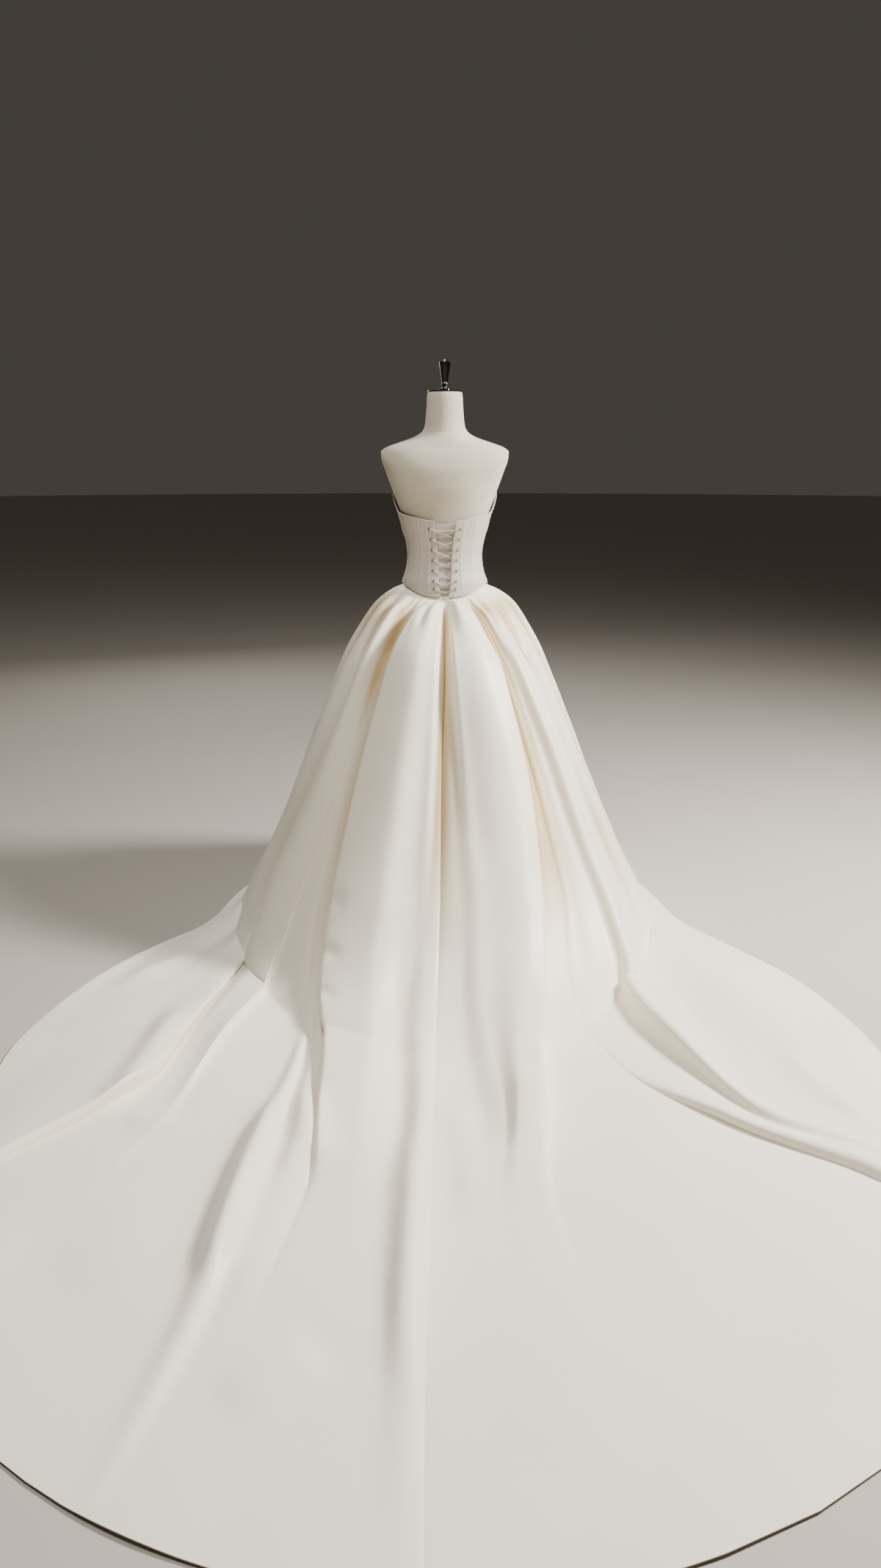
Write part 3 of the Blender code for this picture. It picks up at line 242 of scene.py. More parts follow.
SIDE_RIGHT = (
    ("side_seam_r", ROUND, (256, 255, 254, 254, 256, 260, 263, 265, 266),
     (0.6, 0.5, 0.5, 0.5, 0.4, 0.3, 0.2)),
    ("side_ridge_r", ROUND, (270, 268, 265, 264, 268, 275, 283, 289, 292), (2, 2, 1.8, 1.5, 1.2, 0.9, 0.5)),
    ("side_valley_r", ROUND, (283, 280, 277, 274, 280, 290, 299, 307, 310),
     (0.6, 0.6, 0.6, 0.6, 0.8, 1, 0.8)),
    ("far_ridge_r", ROUND, (296, 292, 287, 283, 289, 299, 312, 321, 321),
     (1.8, 1.8, 1.6, 1.4, 2.4, 2.6, 1.6)),
    ("hollow_r", ROUND, (308, 303, 297, 293, 298, 317, 328, 325.6, 324.5),
     (1, 0.9, 0.7, 0.5, 0.5, 0.9, 1.2)),
    ("outer_back_r", ROUND, (318, 313.5, 308.5, 307, 312, 325, 330.6, 327.2, 326),
     (1.8, 2.6, 2.6, 2, 2, 1.2, 1.4)),
    ("outer_ridge_r", ROUND, (324, 320.4, 314.8, 314.2, 318.6, 329, 332.2, 328.6, 327.2),
     (3, 4.4, 5, 5.4, 5.2, 2.8, 1.8), (0, 0.8, 1.6, 2, 1.6, 0.6, 0)),
    ("outer_under_r", ROUND, (327, 323.6, 319.4, 319, 323, 332.4, 333.1, 329.2, 327.8),
     (1.4, 1.8, 2, 1.6, 0.5, 1, 1.6)),
    ("flap_edge_r", ROUND, (330, 325.5, 323.2, 324, 331, 337.4, 334, 329.8, 328.4),
     (0.6, 0.8, 0.8, 0.6, 0.2, 1.8, 1.8), (0, 0, 0, 0, 0.4, 2.2, 1.2)),
)
BACK_RIGHT = (
    ("outer_foot_r", CREASE, (332.5, 327.3, 325.6, 327.6, 336.6, 338.8, 335, 330.7, 329.2),
     (0.2, 0.2, 0.2, 0.1, 0, 0, 0)),
    ("valley_r", CREASE, (336, 329.3, 328.1, 332.2, 341.5, 348.5, 351.5, 351, 351), (0,) * 7),
    ("main_tuck_r", CREASE, (338, 330.9, 332, 336.9, 343.6, 349.4, 352.3, 352.4, 352.4),
     (0.5, 0.3, 0.2, 0.1, 0, 0, 0)),
    ("main_edge_r", ROUND, (340, 332.4, 333.5, 338.4, 344.9, 350.4, 353.2, 353.2, 353.2),
     (3.2, 4.2, 4.4, 4.4, 3.2, 0.3, 0), (-0.4, -1.2, -1.6, -1.8, -1.4, 0, 0)),
    ("main_ridge_r", ROUND, (350, 343, 337.8, 340.6, 347.2, 352.3, 354.8, 354.8, 354.8),
     (4.2, 4.8, 4.8, 4.6, 3.4, 0.3, 0)),
    ("inner_shoulder_r", ROUND, (355.5, 355, 352.5, 352, 353.8, 354, 356.6, 356.8, 356.8),
     (3.2, 3.2, 2.6, 2.2, 1.6, 0.2, 0)),
    ("seam_trough_r", ROUND, (358, 357.6, 356.8, 356.8, 357.4, 356.9, 359, 359, 359),
     (0.9, 1.2, 1.2, 0.6, 0, 0.1, 0)),
)
# Skirt pieces: CAD node, its fold lines, the rectangle that its flat cut lies in, and the cut's area
SKIRT_PIECES = (
    ("skirt_back_l", BACK_LEFT, (1.15, 2.91), 2.22),
    ("skirt_side_l", SIDE_LEFT, (1.34, 2.05), 1.03),
    ("skirt_front", FRONT, (1.41, 1.42), 1.28),
    ("skirt_side_r", SIDE_RIGHT, (1.05, 2.47), 1.48),
    ("skirt_back_r", BACK_RIGHT, (1.12, 2.88), 1.66),
)
ROW_RUNS = ((0.0, 0.5, 22), (0.5, 1.0, 14), (1.0, 4.5, 96), (4.5, 7.9, 96), (7.9, 8.0, 5))
COLUMN_STEP = 0.009  # widest distance between two columns, at the knee
KNEE_LEVEL = 3.0
FEWEST_STEPS = 6
FOLD_DEPTH = 1.3  # fine cloth folds a little deeper than the facets that stand for it
RELAX_ROUNDS = 4
HELD_ROWS = 6  # rows at the waist and at the hem that relaxing leaves alone
SEAM_WALL = 0.45  # share of the cloth's wall that is left at a pressed seam

# Smaller creases on the upright cloth: name, depth in mm (negative sinks in), width to the wearer's left
# and to the right of its line in mm, and the azimuth and height of each point of its line.
UPRIGHT_CREASES = (
    ("dart_left", -12, 8, 12, ((18.6, 1.02), (17.8, 0.97), (16.5, 0.9))),
    ("pleat_left", -16, 9, 22, ((47, 1.03), (44.5, 0.97), (41, 0.9), (39.5, 0.84))),
    ("pleat_far_left", -9, 10, 18, ((66, 1.04), (62, 0.97), (58.5, 0.88), (56.5, 0.8))),
    ("pleat_side_left", -7, 12, 16, ((82, 1.05), (80, 0.98), (77, 0.9))),
    ("line_left", -3, 7, 16, ((27.4, 0.9), (29.6, 0.83), (31.4, 0.74), (32.6, 0.62))),
    ("fold_right", -12, 18, 7, ((-32.5, 1.02), (-30.2, 0.96), (-27.8, 0.89), (-26.2, 0.8))),
    ("pleat_right", -14, 20, 9, ((-44, 1.03), (-41.5, 0.97), (-39, 0.89), (-37.5, 0.82))),
    ("pleat_far_right", -8, 18, 10, ((-63, 1.04), (-60, 0.97), (-56, 0.88), (-53, 0.79))),
    ("gather_right", 6, 22, 22, ((-12, 1.01), (-13.5, 0.96), (-15, 0.9))),
    ("gather_left", 5, 16, 16, ((10, 1.01), (11, 0.96), (12, 0.9))),
    ("panel_trough_right", -9, 36, 36, ((-6.5, 0.8), (-7.5, 0.62), (-8.5, 0.44), (-9, 0.28))),
    ("seam_slope_left", -8, 30, 34, ((6.5, 0.72), (8.5, 0.52), (10, 0.34), (10.5, 0.2))),
    ("dent_left_1", -9, 20, 20, ((26.8, 0.235), (24, 0.222), (21, 0.224))),
    ("dent_left_2", -8, 18, 18, ((24, 0.118), (21, 0.108), (18.4, 0.112))),
    ("dent_left_3", -7, 18, 18, ((20.6, 0.045), (18.4, 0.036), (16.4, 0.04))),
    ("side_drape_left", 7, 60, 60, ((66, 0.9), (72, 0.62), (80, 0.34))),
    ("side_drape_right", 7, 50, 50, ((-52, 0.86), (-60, 0.6), (-68, 0.34))),
    ("outer_line_right", -4, 14, 26, ((-43.5, 0.78), (-48, 0.6), (-50, 0.42), (-46.5, 0.24))),
    ("front_line_1", -5, 16, 24, ((124, 1), (126, 0.9), (128, 0.76))),
    ("front_line_2", -6, 22, 14, ((150, 1), (151, 0.88), (153, 0.72))),
    ("front_line_3", -5, 14, 20, ((175, 0.99), (176, 0.9), (176, 0.78))),
    ("front_line_4", -6, 20, 14, ((200, 0.99), (199, 0.86), (198, 0.7))),
    ("front_line_5", -5, 14, 22, ((236, 1), (234, 0.88), (233, 0.74))),
    ("front_swag_1", 5, 50, 50, ((150, 0.5), (160, 0.36), (170, 0.3))),
    ("front_swag_2", 5, 46, 46, ((212, 0.46), (204, 0.32), (196, 0.26))),
)
# Creases of the cloth on the floor: the same, with the azimuth and distance from the axis of each point.
FLOOR_CREASES = (
    ("ridge_a", 26, 30, 46, ((17.1, 1.29), (15.2, 1.53), (13.2, 1.83), (12.3, 1.98))),
    ("ridge_b", 15, 20, 32, ((15.2, 1.24), (12.4, 1.46), (11.4, 1.66))),
    ("seam_kink_left", 16, 26, 30, ((3.4, 1.36), (3, 1.62), (2.4, 1.9), (1.6, 2.2))),
    ("seam_kink_right", 12, 26, 36, ((-0.6, 1.26), (-1.8, 1.48), (-1.2, 1.74))),
    ("panel_end_left", 19, 32, 40, ((13, 1.3), (11, 1.48), (8.4, 1.6))),
    ("panel_end_right", 12, 44, 38, ((-9.6, 1.2), (-8.4, 1.36), (-6.4, 1.5))),
    ("wave_near", 9, 60, 60, ((9.5, 2.22), (7.2, 2.14), (5.4, 2.08))),
    ("wave_side", 5, 36, 36, ((28, 1.54), (25.4, 1.52), (23, 1.5))),
    ("pocket_left", 20, 28, 36, ((41, 1.06), (36, 1.24), (32, 1.42), (30, 1.62))),
    ("far_left", 14, 30, 44, ((57, 0.86), (55.5, 1), (54, 1.16))),
    ("far_right", 10, 50, 40, ((-66, 0.8), (-59, 0.94), (-54.5, 1.05), (-51.5, 1.16))),
    ("line_right", 14, 30, 20, ((-38, 1.34), (-35.7, 1.5), (-33.6, 1.74))),
    ("shade_right", 6, 70, 60, ((-20, 1.34), (-17.6, 1.54), (-15.6, 1.8))),
    ("shade_left", 5, 70, 70, ((22, 1.72), (19, 1.9), (17, 2.1))),
    ("hem_left", 6, 60, 60, ((27, 1.92), (24, 2.06), (21, 2.22))),
    ("hem_right", 6, 60, 70, ((-22, 2), (-20, 2.14), (-18, 2.28))),
)
CREASE_FADE = 0.3  # share of a crease's length over which each end dies away
CREASE_POINTS = 48

# ---------------------------------------------------------------- stage sizes
EYE = (0.0, 3.72, 1.45)
EYE_PITCH = 15.7  # degrees below level
EYE_TURN = 0.2  # degrees to the left, which puts the axis just right of the middle
LENS_MM, SENSOR_MM = 27.18, 36.0
FLOOR_RADIUS, FLOOR_SIDES = 40.0, 96
FLOOR_DROP = 0.0008  # the stage's floor lies just under the cloth
# Lights: name, place, point it faces, side of its square, watts
LIGHTS = (
    ("overhead_softbox", (0.3, 1.5, 4.3), (0.0, 1.3, 0.0), 1.2, 115.0),
    ("right_softbox", (-3.1, 0.6, 3.0), (0.0, 0.9, 0.2), 0.8, 430.0),
    ("front_fill", (1.6, -4.2, 2.6), (0.0, 0.0, 0.8), 2.0, 40.0),
)
LIGHT_TINT = (1.0, 0.965, 0.92)
WORLD_STRENGTH = 0.16


# ---------------------------------------------------------------- curves and sections
def smooth(rows, at, index=1):
    """The table's column at those places: a curve through its points that never swings past them."""
    places = np.array([row[0] for row in rows], float)
    values = np.array([row[index] for row in rows], float)
    at = np.clip(np.asarray(at, float), places[0], places[-1])
    widths = np.diff(places)
    slopes = np.diff(values) / widths
    tangents = np.zeros(len(values))
    tangents[0], tangents[-1] = slopes[0], slopes[-1]
    product = slopes[:-1] * slopes[1:]
    rising = product > 0
    tangents[1:-1][rising] = 2 * product[rising] / (slopes[:-1] + slopes[1:])[rising]
    k = np.clip(np.searchsorted(places, at, side="left") - 1, 0, len(widths) - 1)
    t = (at - places[k]) / widths[k]
    return (
        values[k] * (1 + 2 * t) * (1 - t) ** 2
        + tangents[k] * widths[k] * t * (1 - t) ** 2
        + values[k + 1] * t * t * (3 - 2 * t)
        + tangents[k + 1] * widths[k] * t * t * (t - 1)
    )


def from_back(azimuth):
    """Degrees from the centre back, 0 to 180, on either side."""
    around = np.mod(azimuth, TURN)
    return np.minimum(around, TURN - around)


def section_distance(azimuth, half, back, front, squareness):
    """Distance from the axis to a rounded-off ellipse, in the direction of that azimuth."""
    angle = np.radians(azimuth)
    depth = np.where(np.cos(angle) >= 0, back, front)
    reach = (np.abs(np.sin(angle)) / half) ** squareness + (np.abs(np.cos(angle)) / depth) ** squareness
    return reach ** (-1 / squareness)


def ease(t):
    """A soft step from 0 to 1."""
    t = np.clip(t, 0, 1)
    return t * t * (3 - 2 * t)


def body_points(azimuth, height, out=0.0):
    """Points of the bodice's outer face, moved square to it by a small distance."""
    azimuth, height = np.broadcast_arrays(np.asarray(azimuth, float), np.asarray(height, float))
    sizes = [smooth(BODY_SECTIONS, height, i) for i in (1, 2, 3)]

    def flat(at):
        distance = section_distance(at, *sizes, BODY_SQUARENESS)
        return np.stack([distance * np.sin(np.radians(at)), distance * np.cos(np.radians(at))], -1)

    here, ahead, behind = flat(azimuth), flat(azimuth + 0.5), flat(azimuth - 0.5)
    along = ahead - behind
    along /= np.linalg.norm(along, axis=-1, keepdims=True)
    normal = np.stack([-along[..., 1], along[..., 0]], -1)
    normal *= np.where((normal * here).sum(-1, keepdims=True) < 0, -1, 1)
    moved = here + normal * np.asarray(out)[..., None]
    return np.concatenate([moved, height[..., None]], -1)


def back_azimuth(across, height):
    """Azimuth where the bodice's face is that far across, left positive, on the back."""
    low, high = 0.0, 80.0
    for _ in range(30):
        middle = (low + high) / 2
        if body_points(middle, height)[0] < abs(across):
            low = middle
        else:
            high = middle
    return math.copysign(low, across)


def panel_edge(height):
    """Distance from the centre back to the laced edge of a back panel."""
    return float(smooth([(row, apart / 2 - EYELET_INSET) for row, apart in reversed(LACING)], height))


def laced_azimuth(side, height, inset):
    """Azimuth of a point on a back panel, that far from its laced edge."""
    return back_azimuth(side * (panel_edge(height) + inset), height)


def edge_heights(azimuth):
    """Heights of the bodice's lower and top edges."""
    side = from_back(azimuth)
    return smooth(LOWER_EDGE, side), smooth(TOP_EDGE, side)


# ---------------------------------------------------------------- skirt surface
def hem_distance(azimuth):
    """Distance from the axis to the hem: the train's arc behind, and the flank's curve round the front."""
    side = from_back(azimuth)
    angle = np.radians(side)
    across = TRAIN_CENTRE * np.sin(angle)
    arc = TRAIN_CENTRE * np.cos(angle) + np.sqrt(np.maximum(TRAIN_RADIUS**2 - across**2, 0))
    return np.where(side < FLANK[0][0], arc, smooth(FLANK, side))


def base_profile(azimuth, level):
    """Distance from the axis and height of the valleys, at those azimuths and levels."""
    upright = np.minimum(level, FLOOR_LEVEL)
    height, side, back, front = [smooth(LEVELS, upright, i) for i in (1, 2, 3, 4)]
    squareness = 2 + (BODY_SQUARENESS - 2) * np.maximum(1 - level / PUFF_LEVEL, 0)
    distance = section_distance(azimuth, side, back, front, squareness)
    fade = np.clip(1 - level / WAIST_FADE, 0, 1) ** 2 * (1 + 2 * np.minimum(level, WAIST_FADE) / WAIST_FADE)
    height = height + (smooth(LOWER_EDGE, from_back(azimuth)) - WAIST_Z_BASE) * fade
    share = smooth(FLOOR_SHARE, level)
    return distance + np.maximum(hem_distance(azimuth) - distance, 0) * share, height


def base_frame(azimuth, level):
    """Distance and height of the valleys' surface, and the two parts of the direction square to it."""
    distance, height = base_profile(azimuth, level)
    above = base_profile(azimuth, np.maximum(level - LEVEL_STEP, 0))
    below = base_profile(azimuth, np.minimum(level + LEVEL_STEP, HEM_LEVEL))
    run, drop = below[0] - above[0], above[1] - below[1]
    length = np.hypot(run, drop)
    return distance, height, drop / length, run / length


def line_values(line, level):
    """Azimuth, stand-out and lean of a fold line at those levels."""
    _, _, azimuths, stands, *leans = line
    rows = [(0.0, 0.0), (0.1, 0.0), (0.25, stands[0] * 0.2), (0.5, stands[0] * 0.6)]
    rows += list(enumerate(stands, start=1)) + [(HEM_LEVEL, 0.0)]
    lean_rows = [(0.0, 0.0), *enumerate(leans[0] if leans else (0.0,) * 7, start=1), (HEM_LEVEL, 0.0)]
    azimuth = smooth(list(enumerate(azimuths)), level)
    return azimuth, smooth(rows, level) * CM * FOLD_DEPTH, smooth(lean_rows, level) * CM


def between(start_kind, end_kind, t):
    """How far the cloth has gone from one fold line's height to the next: round lines have round tops."""
    if start_kind == ROUND and end_kind == ROUND:
        return t * t * (3 - 2 * t)
    if start_kind == CREASE and end_kind == ROUND:
        return np.sin(t * math.pi / 2)
    if start_kind == ROUND and end_kind == CREASE:
        return 1 - np.cos(t * math.pi / 2)
    return t


def level_at_height(azimuth, height):
    heights = [row[1] for row in LEVELS][::-1]
    levels = [row[0] for row in LEVELS][::-1]
    return np.interp(height, heights, levels)


def level_at_distance(azimuth, distance):
    start, _ = base_profile(azimuth, np.asarray(FLOOR_LEVEL))
    share = (distance - start) / (hem_distance(azimuth) - start)
    return np.interp(share, [row[1] for row in FLOOR_SHARE], [row[0] for row in FLOOR_SHARE])


def rounded_path(points, count):
    """Points of a smooth curve through these points, evenly numbered."""
    points = np.asarray(points, float)
    ends = np.vstack([2 * points[0] - points[1], points, 2 * points[-1] - points[-2]])
    at = np.linspace(0, len(points) - 1, count)
    k = np.minimum(at.astype(int), len(points) - 2)
    t = (at - k)[:, None]
    a, b, c, d = ends[k], ends[k + 1], ends[k + 2], ends[k + 3]
    return 0.5 * (2 * b + (c - a) * t + (2 * a - 5 * b + 4 * c - d) * t**2 + (3 * b - a - 3 * c + d) * t**3)


def on_base(azimuth, level):
    distance, height = base_profile(azimuth, level)
    angle = np.radians(azimuth)
    return np.stack([distance * np.sin(angle), distance * np.cos(angle), np.maximum(height, 0)], -1)


def crease_height(azimuth, ground, path, depth, left, right):
    """Height that one crease adds to each point of the cloth."""
    line = on_base(path[:, 0], path[:, 1])
    wide = 3 * max(left, right)
    low, high = line.min(0) - wide, line.max(0) + wide
    near = ((ground >= low) & (ground <= high)).all(-1)
    added = np.zeros(azimuth.shape)
    places = ground[near]
    gaps = np.linalg.norm(places[:, None] - line[None], axis=-1)
    nearest = gaps.argmin(1)
    away = gaps[np.arange(len(places)), nearest]
    side = (azimuth[near] - path[nearest, 0] + TURN / 2) % TURN - TURN / 2
    width = left + (right - left) * (1 - ease(side / 2 + 0.5))
    along = nearest / (len(path) - 1)
    taper = ease(along / CREASE_FADE) * ease((1 - along) / CREASE_FADE)
    added[near] = depth * taper * np.exp(-((away / width) ** 2))
    return added


def crease_field(azimuth, ground):
    """What all the smaller creases add to the cloth's height."""
    total = np.zeros(azimuth.shape)
    for creases, level_of in ((UPRIGHT_CREASES, level_at_height), (FLOOR_CREASES, level_at_distance)):
        for _, depth, left, right, points in creases:
            path = rounded_path([(at % TURN, level_of(at, place)) for at, place in points], CREASE_POINTS)
            total += crease_height(azimuth, ground, path, depth * MM, left * MM, right * MM)
    return total


def wave_field(azimuth, level, ground):
    """Small unevenness that heavy satin keeps: soft gathers at the waist, slow waves lower and at the hem."""
    x, y, z = ground[..., 0], ground[..., 1], ground[..., 2]
    gathers = np.sin(np.radians(azimuth * 23 + 40 * np.sin(np.radians(azimuth * 3))))
    gathers += 0.6 * np.sin(np.radians(azimuth * 37 + 110))
    top = ease((level - 0.08) / 0.2) * np.exp(-((level / 0.55) ** 2))
    slow = np.sin(9.1 * x + 4.3 * y + 3.7 * z) * np.sin(5.3 * y - 6.1 * x + 7.9 * z + 1.3)
    slow += 0.5 * np.sin(17.3 * x - 12.1 * y + 10.7 * z + 0.7)
    slow += 0.3 * np.sin(27.7 * y + 21.3 * x + 31.1 * z)
    upright = ease((level - 0.6) / 0.6) * ease((4.6 - level) / 0.8)
    floor = ease((level - 4.6) / 0.6)
    hem = ease((level - 7.2) / 0.8)
    lifts = 0.5 + 0.5 * np.sin(7.3 * x + 2.1 * y + 0.4)
    lifts *= 0.6 + 0.4 * np.sin(15.1 * x - 5.7 * y + 2.0)
    waves = 4.2 * MM * top * gathers + 1.5 * MM * upright * slow + 1.0 * MM * floor * np.maximum(slow, 0)
    return waves + 5.0 * MM * hem * np.maximum(lifts, 0) + 1.2 * MM * hem


def skirt_lines():
    """All fold lines round the skirt, the first one again at the end, and each piece's first line."""
    lines, starts = [], []
    for _, rows, _, _ in SKIRT_PIECES:
        starts.append(len(lines))
        lines += rows
    first = lines[0]
    lines.append((*first[:2], tuple(a + TURN for a in first[2]), *first[3:]))
    return lines, [*starts, len(lines) - 1]


def skirt_rows():
    rows = [np.linspace(start, end, count, endpoint=False) for start, end, count in ROW_RUNS]
    return np.concatenate([*rows, [HEM_LEVEL]])


def relaxed(points, held):
    """The grid, closed round its columns, with each point drawn a little towards its neighbours."""
    for _ in range(RELAX_ROUNDS):
        across = (np.roll(points, 1, 0) + np.roll(points, -1, 0)) / 2
        down = points.copy()
        down[:, 1:-1] = (points[:, :-2] + points[:, 2:]) / 2
        points = points + ((across + down) / 2 - points) * 0.5 * (1 - held)[..., None]
    return points


def skirt_surface():
    """The skirt's inner face by columns and rows, its normals and painted fold shade, and each piece's first
    column.
    """
    lines, starts = skirt_lines()
    levels = skirt_rows()
    values = [line_values(line, levels) for line in lines]
    knee = int(np.searchsorted(levels, KNEE_LEVEL))
    columns, first_columns, held = [], [], []
    for i, (line, following) in enumerate(zip(lines, lines[1:])):
        if i in starts:
            first_columns.append(len(columns))
        start, end = values[i], values[i + 1]
        radius = float(base_profile(start[0][knee], levels[knee])[0])
        reach = math.hypot(math.radians(end[0][knee] - start[0][knee]) * radius, end[1][knee] - start[1][knee])
        steps = max(FEWEST_STEPS, round(reach / COLUMN_STEP))
        for step in range(steps):
            t = step / steps
            share = between(line[1], following[1], t)
            columns.append([a + (b - a) * (t if k == 0 else share) for k, (a, b) in enumerate(zip(start, end))])
            held.append(1.0 if step == 0 and (i in starts or line[1] == CREASE) else 0.0)
    first_columns.append(len(columns))
    azimuth, stands, lean = [np.array([column[k] for column in columns]) for k in range(3)]
    level = np.broadcast_to(levels, azimuth.shape)
    ground = on_base(azimuth, level)
    extra = crease_field(azimuth, ground) + wave_field(azimuth, level, ground)
    distance, height, square_out, square_up = base_frame(azimuth, level)
    raised = stands + extra * ease((level - 0.08) / 0.3)
    raised = np.where(level > FLOOR_LEVEL, np.maximum(raised, 0), raised)
    distance = distance + raised * square_out
    height = np.maximum(height + raised * square_up, 0)
    angle = np.radians(azimuth)
    points = np.stack([distance * np.sin(angle), distance * np.cos(angle), height], -1)
    points += np.stack([np.cos(angle), -np.sin(angle), np.zeros(angle.shape)], -1) * lean[..., None]
    hold = np.broadcast_to(np.array(held)[:, None], azimuth.shape).copy()
    hold[:, :HELD_ROWS] = hold[:, -HELD_ROWS:] = 1.0
    points = relaxed(points, hold)
    points[..., 2] = np.maximum(points[..., 2], 0)
    across = np.roll(points, -1, 0) - np.roll(points, 1, 0)
    down = np.gradient(points, axis=1)
    normal = np.cross(across, down)
    normal /= np.maximum(np.linalg.norm(normal, axis=-1, keepdims=True), 1e-12)
    # painted shade: the deeper a point lies in a fold of the upright skirt, the more its satin is painted tan
    hollow = ease((0.024 - raised) / 0.022) * ease((4.4 - level) / 2.2) * ease((level - 0.15) / 0.4)
    return points, normal, hollow, first_columns


# ---------------------------------------------------------------- mesh making
def linear(code):
    """An sRGB hex colour as linear red, green, blue and alpha."""
    parts = [int(code[i : i + 2], 16) / 255 for i in (0, 2, 4)]
    return (*[c / 12.92 if c <= 0.04045 else ((c + 0.055) / 1.055) ** 2.4 for c in parts], 1.0)


def new_object(name, mesh):
    piece = bpy.data.objects.new(name, mesh)
    bpy.context.scene.collection.objects.link(piece)
    return piece


def placed(piece, slot, *nodes):
    """Gives a piece its body, and hides the CAD nodes that it stands for."""
    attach(piece, "root")
    if nodes:
        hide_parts(*nodes)
    return piece


def add_piece(name, mesh, material, slot, *nodes):
    """A new piece of that mesh and material, on its body."""
    mesh.materials.clear()
    mesh.materials.append(material)
    return placed(new_object(name, mesh), slot, *nodes)


def baked(cage, name, smoothed=True):
    """The bmesh as a mesh. The bmesh is freed."""
    mesh = bpy.data.meshes.new(name)
    cage.to_mesh(mesh)
    cage.free()
    if smoothed:
        mesh.shade_smooth()
    return mesh


def evaluated_mesh(piece):
    """What a piece's modifiers make of it, as a plain mesh. The piece is removed."""
    graph = bpy.context.evaluated_depsgraph_get()
    graph.update()
    mesh = bpy.data.meshes.new_from_object(piece.evaluated_get(graph), depsgraph=graph)
    bpy.data.objects.remove(piece)
    return mesh


def outward(mesh):
    """Turns the faces of a closed mesh outwards."""
    cage = bmesh.new()
    cage.from_mesh(mesh)
    if cage.calc_volume(signed=True) < 0:
        mesh.flip_normals()
    cage.free()
    return mesh


def grid_mesh(name, points, faces, uv=None, hollow=None):
    """A smooth mesh with a UV map and the painted fold shade attribute, where they are given for each point."""
    mesh = bpy.data.meshes.new(name)
    mesh.from_pydata([tuple(p) for p in points], [], faces)
    mesh.shade_smooth()
    if uv is not None:
        corner = np.zeros(len(mesh.loops), np.int32)
        mesh.loops.foreach_get("vertex_index", corner)
        layer = mesh.uv_layers.new(name=UV_NAME)
        layer.uv.foreach_set("vector", np.asarray(uv, np.float32)[corner].ravel())
    if hollow is not None:
        attribute = mesh.attributes.new(PAINTED_FOLD_SHADE, "FLOAT", "POINT")
        attribute.data.foreach_set("value", np.asarray(hollow, np.float32).ravel())
    mesh.update()
    return mesh


def grid_quads(columns, rows):
    """The grid's point numbers, and its four-cornered faces."""
    index = np.arange(columns * rows).reshape(columns, rows)
    a, b, c, d = index[:-1, :-1], index[1:, :-1], index[1:, 1:], index[:-1, 1:]
    return index, np.stack([a, d, c, b], -1).reshape(-1, 4)


def ring_quads(count, sides):
    """Faces between rings of points that follow each other."""
    around = [(j, (j + 1) % sides) for j in range(sides)]
    starts = range(0, (count - 1) * sides, sides)
    return [(i + j, i + k, i + sides + k, i + sides + j) for i in starts for j, k in around]


def shell(name, inner, outer, hollow=None):
    """Closed cloth wall between two like grids, columns by rows, with a UV map in metres."""
    columns, rows = inner.shape[:2]
    across = np.linalg.norm(np.diff(outer, axis=0), axis=-1).mean(1)
    down = np.linalg.norm(np.diff(outer, axis=1), axis=-1)
    u = np.concatenate([[0], np.cumsum(across)])
    v = np.concatenate([np.zeros((columns, 1)), np.cumsum(down, 1)], 1)
    uv = np.stack([np.broadcast_to(u[:, None], (columns, rows)), -v], -1).reshape(-1, 2)
    index, quads = grid_quads(columns, rows)
    far = columns * rows
    rims = []
    for near, flip in ((index[:, 0], False), (index[:, -1], True), (index[0], True), (index[-1], False)):
        strip = np.stack([near[:-1], near[1:], near[1:] + far, near[:-1] + far], -1)
        rims.append(strip[:, ::-1] if flip else strip)
    faces = np.concatenate([quads, quads[:, ::-1] + far, *rims]).tolist()
    points = np.concatenate([outer.reshape(-1, 3), inner.reshape(-1, 3)])
    shade = None if hollow is None else np.concatenate([hollow.ravel()] * 2)
    mesh = outward(grid_mesh(name, points, faces, np.concatenate([uv, uv]), shade))
    mesh.set_sharp_from_angle(angle=math.radians(60))
    return mesh


def tube_mesh(name, path, radius, sides=10):
    """Round tube along a path, with domed ends and a UV map in metres: along it, and round it."""
    path = np.asarray(path, float)
    forward = np.gradient(path, axis=0)
    forward /= np.linalg.norm(forward, axis=1, keepdims=True)
    start = np.cross(forward[0], (0.3, 0.2, 1.0))
    sideways = [start / np.linalg.norm(start)]
    for direction in forward[1:]:
        carried = sideways[-1] - direction * (sideways[-1] @ direction)
        sideways.append(carried / np.linalg.norm(carried))
    sideways = np.array(sideways)
    upwards = np.cross(forward, sideways)
    angles = np.linspace(0, math.tau, sides, endpoint=False)
    ring = np.cos(angles)[None, :, None] * sideways[:, None] + np.sin(angles)[None, :, None] * upwards[:, None]
    tips = [path[0] - forward[0] * radius * 0.6, path[-1] + forward[-1] * radius * 0.6]
    points = np.vstack([(path[:, None] + ring * radius).reshape(-1, 3), tips])
    along = np.concatenate([[0], np.cumsum(np.linalg.norm(np.diff(path, axis=0), axis=1))])
    uv = np.stack(np.broadcast_arrays(along[:, None], (angles * radius)[None]), -1).reshape(-1, 2)
    faces = ring_quads(len(path), sides)
    tip, last = len(path) * sides, (len(path) - 1) * sides
    for j in range(sides):
        k = (j + 1) % sides
        faces += [(tip, k, j), (tip + 1, last + j, last + k)]
    return outward(grid_mesh(name, points, faces, np.vstack([uv, [[0, 0], [along[-1], 0]]])))


